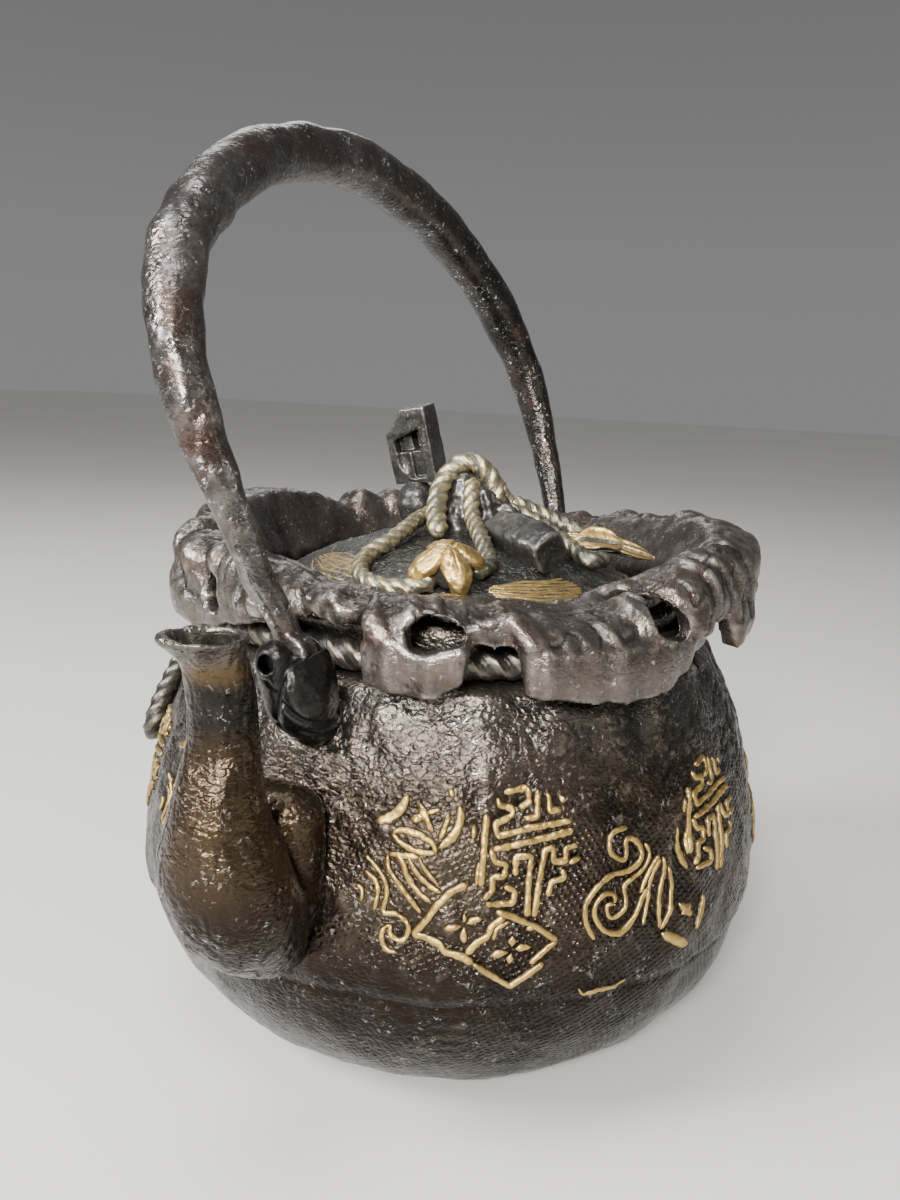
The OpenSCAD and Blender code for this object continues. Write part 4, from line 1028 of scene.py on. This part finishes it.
leaf("leaf_short", 13, 9.5, 1.4, [34, 2, -60], [5.2, -36.2, 125], 1.7, 2, "gilt_leaf_round")
leaf("leaf_long", 24.5, 8, 1.6, [25, 12, -67], [11.5, -37, 123.7], 0.5, 4, "gilt_leaf_long")

# Barrel toggle lying beside the peak
line = curve([[3.7, -10.4], [4.3, -10.1], [4.9, -7.5], [5.4, -4], [5.6, 0], [5.55, 5], [5.2, 8.6], [5.0, 9.9],
              [4.5, 10.4]], 6)
line = np.vstack([[[0, -10.5], [1.4, -10.5], [2.6, -10.5]], line,
                  [[3.4, 10.5], [2.2, 10.35], [1.1, 10.3], [0, 10.3]]])
line, _ = even(line, 0.45, 2)
line[0, 0] = line[-1, 0] = 0
v, f = revolve(line, 110)
a = np.arctan2(v[:, 1], v[:, 0])
v[:, :2] *= (1 + 0.085 * np.cos(4 * a + 0.6) + 0.02 * np.cos(3 * a))[:, None]
barrel = build("barrel", turned([0, 0, -116], [-12.8, -23, 126.6], turned([0, 100, 0], [0, 0, 0], v)), f)
raised(barrel, lambda co, no: 0.5 * fbm(co / 6, 2, 141) + 0.16 * fbm(co / 1.6, 3, 142))
piece(worn(barrel, 6, 0.2), "lid", "knob_metal", KNOB_METAL, "barrel_toggle")

# Bead and the box toggle on it
p = np.linspace(-np.pi / 2, np.pi / 2, 60)
line = np.stack([5.6 * np.cos(p), 7 * np.sin(p)], 1)
line[:, 0] = np.maximum(line[:, 0], np.interp(line[:, 1], [-8, 6.0, 6.3, 8], [0, 0, 2.7, 2.7]))
line[0, 0] = line[-1, 0] = 0
v, f = revolve(line, 100)
bead = build("bead_cast", v + [BEAD[0], BEAD[1], BEAD_Z], f)
raised(bead, lambda co, no: (0.45 * fbm(co / 6, 2, 151) + 0.14 * fbm(co / 1.5, 3, 152)
                             + 0.14 * np.cos(1.6 * co[:, 2] + fbm(co / 5, 1, 5))))
piece(worn(bead, 6, 0.2), "lid", "knob_metal", KNOB_METAL, "bead")


box = build("box_cast", *prism([(-7, -10.5), (7, -10.5), (7, 10.5), (-7, 10.5)], -3.5, 3.5))
for poly, x0, x1 in (([(0.8, 10.6), (4.2, 6.2), (7.2, 4.2), (8.5, 4.2), (8.5, 12), (0.8, 12)], -5, 5),
                     ([(-4, -1.5), (4.4, -1.5), (4.4, 2), (-4, 4.8)], -4.5, -0.6),
                     ([(-3.9, -1.4), (0.2, -1.4), (0.2, 3.2), (-3.9, 4.6)], -2, 2.2),
                     ([(-3.9, -8.8), (-0.5, -8.8), (-0.5, -1.3), (-3.9, -1.3)], -4.5, -2.4)):
    cut(box, build("cutter", *prism(poly, x0, x1)))
v, f = ball(1, [0, 0, 0])
cut(box, build("cutter", v * [1.5, 2, 3.9] + [-3.6, 2.3, -3.2], f))
box = remesh(box, 0.3, 5)
raised(box, lambda co, no: 0.35 * fbm(co / 6, 2, 161) + 0.12 * fbm(co / 1.6, 3, 162))
place(box, turned([-9, -12, -2], [12, 22, 146.6], coords(box)))
piece(worn(box, 6, 0.14), "lid", "knob_metal", KNOB_METAL, "box_toggle")

# ---------------------------------------------------------------- gilt relief
# Strokes as [points in millimetres round and up the body], width, taper towards the ends
SCROLL = [
    [[[-9, 15.5], [-6, 16.5], [-3.5, 18.5], [-2, 21.5]], 2.4, 0.4], [[[0.5, 20], [4, 14.5]], 1.9, 0.3],
    [[[-1, 16.5], [2, 17.5]], 1.9, 0.3], [[[2, 18], [5.5, 19]], 1.1, 0.4], [[[7, 22], [8.5, 22.5]], 2.2, 0.3],
    [[[9.5, 20], [10, 17.5], [8.5, 14], [5.5, 11.5]], 2.2, 0.4],
    [[[7.5, 18.5], [6.5, 15.5], [5.5, 13]], 1.5, 0.4],
    [[[-5, 13.5], [-3, 14.5], [0.5, 14], [4, 12.5], [5, 10.5]], 1.6, 0.3],
    [[[-5, 13.5], [-2, 11.5], [1.5, 10.5], [5, 10.5]], 1.5, 0.3],
    [[[-5.5, 9.5], [-3, 9.5], [1.5, 9.5]], 1.4, 0.3],
    [[[-5.5, 9.5], [-5, 6.5], [-2, 3], [2.5, -2]], 1.4, 0.3],
    [[[-4, 10], [-2, 8], [-1, 5.5], [1.5, 2.5], [4.5, 0.5]], 1.5, 0.3],
    [[[-1, 9.5], [0.5, 7], [3, 4.5], [6.5, 2.5]], 1.4, 0.3], [[[1.5, 9.5], [3, 7], [6, 4]], 1.1, 0.4],
    [[[-10.5, 8.5], [-8.5, 7], [-6, 4.5], [-5, 1.5], [-5.5, -2.5], [-3, -2.5], [-0.5, -4], [0, -6], [-1, -8],
      [-3, -7.5], [-4, -6], [-3.5, -5]], 1.3, 0.2],
    [[[-10.5, 5.5], [-8, 4], [-7, 1.5], [-7.5, -2.5]], 1.4, 0.5],
    [[[-12, 2.5], [-10.5, 1.5], [-10.5, -1]], 1.2, 0.5],
    [[[-3.5, -5], [-5, -5.5], [-5.5, -7.5], [-4.5, -10], [-2, -10.5]], 1.3, 0.4]]
LOZENGES = [
    [[[-4, 14], [-7.5, 12.5], [-10.5, 9.5], [-12, 7], [-15, 3], [-12.5, 2.5], [-9.5, 1.5], [-8.5, 0],
      [-4.5, -1], [-2.5, -2.5]], 1.7, 0], [[[4, 7.5], [1, 5.5], [0.5, 3.5], [-2, 2], [-4, -0.5]], 1.6, 0],
    [[[5, 6.5], [2, 5], [1.5, 2.5]], 1.0, 0.3], [[[2, 8.5], [5, 7.5], [10.5, 5], [15.5, 1.5]], 1.5, 0],
    [[[10.5, 5], [8.5, 4.5]], 1.4, 0], [[[15.5, 1.5], [12, -1], [9.5, -3]], 1.5, 0.2],
    [[[12.5, -3], [9, -5.5], [5.5, -8], [2, -5.5], [-2.5, -2.5]], 1.5, 0],
    [[[-9, 5], [-7, 5.2], [-5.2, 5.5]], 1.7, 0.75], [[[-4.2, 6], [-2.5, 6.8], [-0.8, 7.2]], 1.7, 0.75],
    [[[-4.6, 5.2], [-4.7, 3.5], [-4.5, 1.8]], 1.6, 0.75], [[[-4.6, 8.2], [-4.6, 6.2]], 1.2, 0.7],
    [[[1, -0.8], [3, -0.4], [4.8, 0]], 1.7, 0.75], [[[6.2, 0.4], [8, 0.6], [9.8, 0.6]], 1.7, 0.75],
    [[[5.6, 3.4], [5.6, 1], [5.4, 0.8]], 1.7, 0.75], [[[5.5, -0.4], [5.2, -1.6], [5, -2.8]], 1.7, 0.75]]
FRET = [
    [[[-10, 7.5], [-10.5, 0.5], [-11, -7]], 1.7, 0], [[[-12.5, 5.5], [-13, 2.5]], 1.3, 0.4],
    [[[-11.5, -2], [-12, -7]], 1.1, 0.4],
    [[[-7.5, 10.5], [-7, 9], [-4, 8.5], [-4, 7], [-8, 5.5], [-7.5, 3], [-0.5, 4.5], [9.5, 5.5]], 1.5, 0],
    [[[-6, 11.5], [-0.5, 12.5], [0, 9.5], [-2.5, 8.5]], 1.5, 0], [[[2, 12], [1.5, 6.5], [-1.5, 6.5]], 1.5, 0],
    [[[4.5, 11.5], [4.5, 7.5], [7.5, 8]], 1.4, 0], [[[7.5, 10.5], [8, 9]], 1.5, 0.3],
    [[[-8.5, 0.5], [0.5, 2], [10, 3.5]], 1.6, 0],
    [[[-9, 0.5], [-8, -2], [-5.5, -2.5], [-6, -5], [-8.5, -5], [-8.5, -8], [-10.5, -9.5]], 1.5, 0],
    [[[-3.5, -5], [-3.5, -1], [0, -1], [-0.5, -5.5], [-1, -13.5]], 1.5, 0],
    [[[-6, -7], [-3.5, -8], [-4, -10.5], [-10, -10.5]], 1.5, 0],
    [[[11, 0.5], [8, 0], [8, -2.5], [5, -2.5], [5, 0.5], [3, 0], [2, -5], [0.5, -13.5]], 1.5, 0],
    [[[7, -4], [7.5, -6], [4.5, -6.5], [3.5, -9.5]], 1.4, 0], [[[8.5, -3], [11.5, -2]], 1.3, 0.3]]
SPIRAL = [
    [[[3.5, 11.5], [1, 11.5], [-1.5, 10.5], [-2, 7.5], [0, 5.5], [2, 5], [2.5, 6.5], [2.5, 9], [4.5, 9],
      [6.5, 7], [6.5, 4.5], [3.5, 2.5], [-2, 2], [-6, 0], [-8.5, -3.5], [-8, -7.5], [-6, -11]], 1.45, 0.15],
    [[[8, 7.5], [9, 5], [7, 2], [2, -0.5], [2, -3], [1.5, -5.5], [-1, -7], [-2.5, -6.5], [-3, -4],
      [-1, -4]], 1.2, 0.2],
    [[[-1, -4], [-1, -2], [-4, -1.5], [-6, -3.5], [-6, -6], [-3.5, -9.5], [0.5, -10.5], [4, -8], [6, -5],
      [8.5, -2]], 1.4, 0.2], [[[12, 4.5], [8.5, 1], [6, -3]], 1.2, 0.3],
    [[[12.5, 3.5], [9.5, 0], [8, -5.5], [6.5, -10]], 1.3, 0.3],
    [[[13.5, 3.5], [13.5, 0], [11.5, -5.5], [11.5, -12]], 1.3, 0.2],
    [[[15, 1], [16, -3.5], [14.5, -9], [12, -12.5]], 1.4, 0.2],
    [[[18.5, 9], [19.5, 4.5], [21.5, -1]], 2.2, 0.5], [[[18, -8], [22, -11.5]], 2.0, 0.4],
    [[[22, -9], [18.5, -10.5]], 2.0, 0.4], [[[26.5, -8], [26, -11.5], [23.5, -15.5]], 1.8, 0.4],
    [[[12.5, -13.5], [16, -15.5], [20.5, -18]], 2.6, 0.4]]


def bead_of_gold(path, width, taper, tall, surface):
    """One rounded stroke lying on surface(u, v, h); path is in u, v millimetres."""
    q, s = even(np.asarray(path, float), 0.35, 2)
    n = len(q)
    if n > 6:
        for _ in range(3):
            q[1:-1] = 0.5 * q[1:-1] + 0.25 * (q[:-2] + q[2:])
    t = tangents(q)
    side = np.stack([-t[:, 1], t[:, 0]], 1)
    share = 1 - taper * (2 * s / s[-1] - 1) ** 2
    ends = np.sqrt(np.clip(np.minimum(s, s[-1] - s) / (0.6 * width) + 0.12, 0, 1))
    half = 0.5 * width * share * ends * (1 + 0.42 * gnoise(np.column_stack([q * 0.8, 0 * s]), 9))
    # section across the stroke and out from the skin: foot, shoulder, crown
    across, out = np.array([[-1.12, -0.45], [-1.08, 0.05], [-0.86, 0.62], [-0.45, 0.93], [0, 1], [0.45, 0.93],
                            [0.86, 0.62], [1.08, 0.05], [1.12, -0.45]]).T
    m = len(out)
    u = q[:, None, 0] + side[:, None, 0] * half[:, None] * across
    w = q[:, None, 1] + side[:, None, 1] * half[:, None] * across
    h = np.where(out > 0, out * tall * np.clip(ends * 1.1, 0, 1)[:, None], out + 0 * u)
    f = grid_faces(n, m) + [tuple(range(m))[::-1], tuple(range((n - 1) * m, n * m))]
    shine = np.clip(np.broadcast_to(out * 1.15, (n, m)), 0, 1).ravel()
    return surface(u, w, h).reshape(-1, 3), [x[::-1] for x in f], shine


def gilded(name, made, grain):
    """One object of several strokes, with their wear marks and a fine unevenness."""
    obj = joined([(v, f) for v, f, _ in made], name)
    mark(obj, np.concatenate([shine for _, _, shine in made]))
    return raised(obj, lambda co, no: grain * fbm(co / 1.4, 2, 171))


def motif(name, a, z, strokes, *nodes, tall=0.72):
    def surface(u, w, h):
        return on_body(a + u / BODY_R * 180 / np.pi, z + w, h)
    made = [bead_of_gold(p, w, t, tall, surface) for p, w, t in strokes]
    return piece(gilded(name, made, 0.13), "kettle", "gilt", GILT, *nodes)


def ribbon(strokes):
    return [[curve(p, 8), w, t] for p, w, t in strokes]


for strokes, places in ((FRET, (("fret_front", 218.5, 69), ("fret_side", 257, 69), ("fret_left", 131, 66),
                                ("fret_back", 22, 68))),
                        (ribbon(SCROLL), (("scroll_front", 200.5, 58), ("scroll_left", 153, 60),
                                          ("scroll_back", 322, 58))),
                        (LOZENGES, (("lozenges_front", 211.8, 48.5), ("lozenges_back", 45, 48))),
                        (ribbon(SPIRAL), (("spiral_front", 233, 60), ("spiral_right", 286, 60),
                                          ("spiral_back", 350, 58)))):
    for name, a, z in places:
        motif("relief_" + name, a, z, strokes, "inlay_" + name)
line = [[-6, 1.5], [-4.6, -0.3], [-1, 0.3], [3, 0.1], [6.5, 0.9]]
motif("relief_fragment", 231, 36.5, ribbon([[line, 1.1, 0.6]]), tall=0.35)


def lid_strokes(name, a0, a1, count, r0, r1, node, tall, width):
    """Fine raked lines over one low pad, drawn together at the left end."""
    def surface(u, r, h):
        a = np.radians(0.5 * (a0 + a1) + u / 40 * 180 / np.pi)
        return np.stack([r * np.cos(a), r * np.sin(a), dome_z(r) + h], -1)
    span = (a1 - a0) / 2 * np.pi / 180 * 40
    pad = np.linspace(-span * 0.92, span * 0.96, 16)
    rm = 0.5 * (r0 + r1)
    strokes = [[np.stack([pad, rm + 0.3 * np.sin(pad * 0.3)], 1), (r1 - r0) * 0.95, 0.45]]
    for i in range(count):
        far = 2 * i / (count - 1) - 1
        u = np.linspace(-span * (1 - 0.12 * abs(far)), span * (1 - 0.2 * far ** 2), 18)
        fan = 0.55 + 0.45 * ease((u + span) / span)
        r = rm + 0.5 * (r1 - r0) * far * fan + 0.22 * np.sin(u * 0.5 + i * 2)
        strokes.append([np.stack([u, r], 1), width, 0.35])
    made = []
    for k, (p, w, t) in enumerate(strokes):
        v, f, shine = bead_of_gold(p, w, t, tall * (0.45 if k == 0 else 1), surface)
        made.append((v, f, shine * (0.42 if k == 0 else 0.8)))
    return piece(gilded(name, made, 0.1), "lid", "gilt", GILT_BRIGHT, node)


lid_strokes("relief_brush", 214.5, 250.5, 8, 37.8, 44.2, "inlay_lid_brush", 0.45, 0.66)
lid_strokes("relief_fan", 128, 168, 6, 33, 42, "inlay_lid_fan", 0.3, 0.7)

# ---------------------------------------------------------------- CAD parts that stay
for name, material in (("front_pivot_pin", LUG_IRON), ("rear_pivot_pin", LUG_IRON), ("lid_skirt", LID_BRONZE),
                       ("knob_rivet", LID_BRONZE), ("knob_stud", LID_BRONZE), ("bead_pin", LID_BRONZE)):
    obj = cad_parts[name]
    obj.data.materials.clear()
    obj.data.materials.append(material)

# ---------------------------------------------------------------- floor, light and camera
def floor():
    t = Tree("floor_paper")
    tone = t.noise(260, 2, 0.5)
    color = t.mix(t.span(tone, 0.3, 0.7), (0.56, 0.55, 0.535), (0.59, 0.58, 0.565))
    mat = t.done(color, 0.62, 0.0, t.bump(t.noise(1.2, 3, 0.6), 0.05, 0.4))
    v = [[-6000, -6000, 0], [6000, -6000, 0], [6000, 6000, 0], [-6000, 6000, 0]]
    obj = build("floor", v, [(0, 1, 2, 3)])
    obj.data.materials.append(mat)


floor()
world = bpy.data.worlds.new("studio")
world.use_nodes = True
sky = world.node_tree
where = sky.nodes.new("ShaderNodeTexCoord").outputs["Generated"]
split = sky.nodes.new("ShaderNodeSeparateXYZ")
tone = sky.nodes.new("ShaderNodeValToRGB")
sky.links.new(where, split.inputs[0])
sky.links.new(split.outputs[2], tone.inputs[0])
tone.color_ramp.interpolation = "EASE"
tone.color_ramp.elements[0].color = (0.92, 0.92, 0.92, 1)
tone.color_ramp.elements[1].color = (0.95, 0.95, 0.95, 1)
tone.color_ramp.elements.new(0.35).color = (0.66, 0.66, 0.67, 1)
sky.links.new(tone.outputs[0], sky.nodes["Background"].inputs[0])
sky.nodes["Background"].inputs[1].default_value = 0.26
bpy.context.scene.world = world


def area(name, at, aim, size, power, color=(1, 1, 1)):
    lamp = bpy.data.lights.new(name, "AREA")
    lamp.shape = "RECTANGLE"
    lamp.size, lamp.size_y = size
    lamp.energy = power
    lamp.color = color
    obj = bpy.data.objects.new(name, lamp)
    at, aim = Vector(at), Vector(aim)
    obj.location = at
    obj.rotation_euler = (aim - at).to_track_quat("-Z", "Y").to_euler()
    bpy.context.scene.collection.objects.link(obj)


area("key", (-1.05, -0.3, 0.62), (0, 0, 0.1), (0.3, 0.22), 34, (1, 0.97, 0.93))
area("left", (-0.75, 0.65, 0.7), (0, 0, 0.12), (0.3, 0.4), 22, (1, 1, 1))
area("top", (-0.3, 0.1, 1.0), (0, 0, 0.1), (0.4, 0.4), 6, (0.96, 0.98, 1))
area("side", (-0.25, -1.05, 0.55), (0, 0, 0.1), (0.3, 0.4), 1.5, (1, 0.95, 0.88))
area("rim", (0.7, 0.6, 0.8), (0, 0, 0.12), (0.5, 0.4), 2, (1, 1, 1))
lamp = bpy.data.lights.new("even", "SUN")
lamp.energy = 0.85
lamp.angle = math.radians(50)
even_light = bpy.data.objects.new("even", lamp)
even_light.rotation_euler = Vector((0.8, -0.15, -0.6)).to_track_quat("-Z", "Y").to_euler()
bpy.context.scene.collection.objects.link(even_light)

# Camera fitted to the photo: place in metres, focal length and long side of the image in its pixels
CAMERA_AT = (-0.262893, -0.127217, 0.163478)
FOCAL, LONG_SIDE, SENSOR = 1101.6, 1200, 36
back = np.array([-0.87958913, -0.43541459, 0.19166923])
right = np.array([0.45066579, -0.89167935, 0.04252396])
back /= np.linalg.norm(back)
right -= back * (right @ back)
right /= np.linalg.norm(right)
up = np.cross(back, right)
cam = bpy.data.cameras.new("view")
cam.sensor_width = SENSOR
cam.sensor_fit = "AUTO"
cam.lens = SENSOR * FOCAL / LONG_SIDE
cam.clip_start = 0.01
cam.dof.use_dof = False
camera = bpy.data.objects.new("view", cam)
m = Matrix.Identity(4)
for i in range(3):
    m[i][0], m[i][1], m[i][2], m[i][3] = right[i], up[i], back[i], CAMERA_AT[i]
camera.matrix_world = m
bpy.context.scene.collection.objects.link(camera)
bpy.context.scene.camera = camera
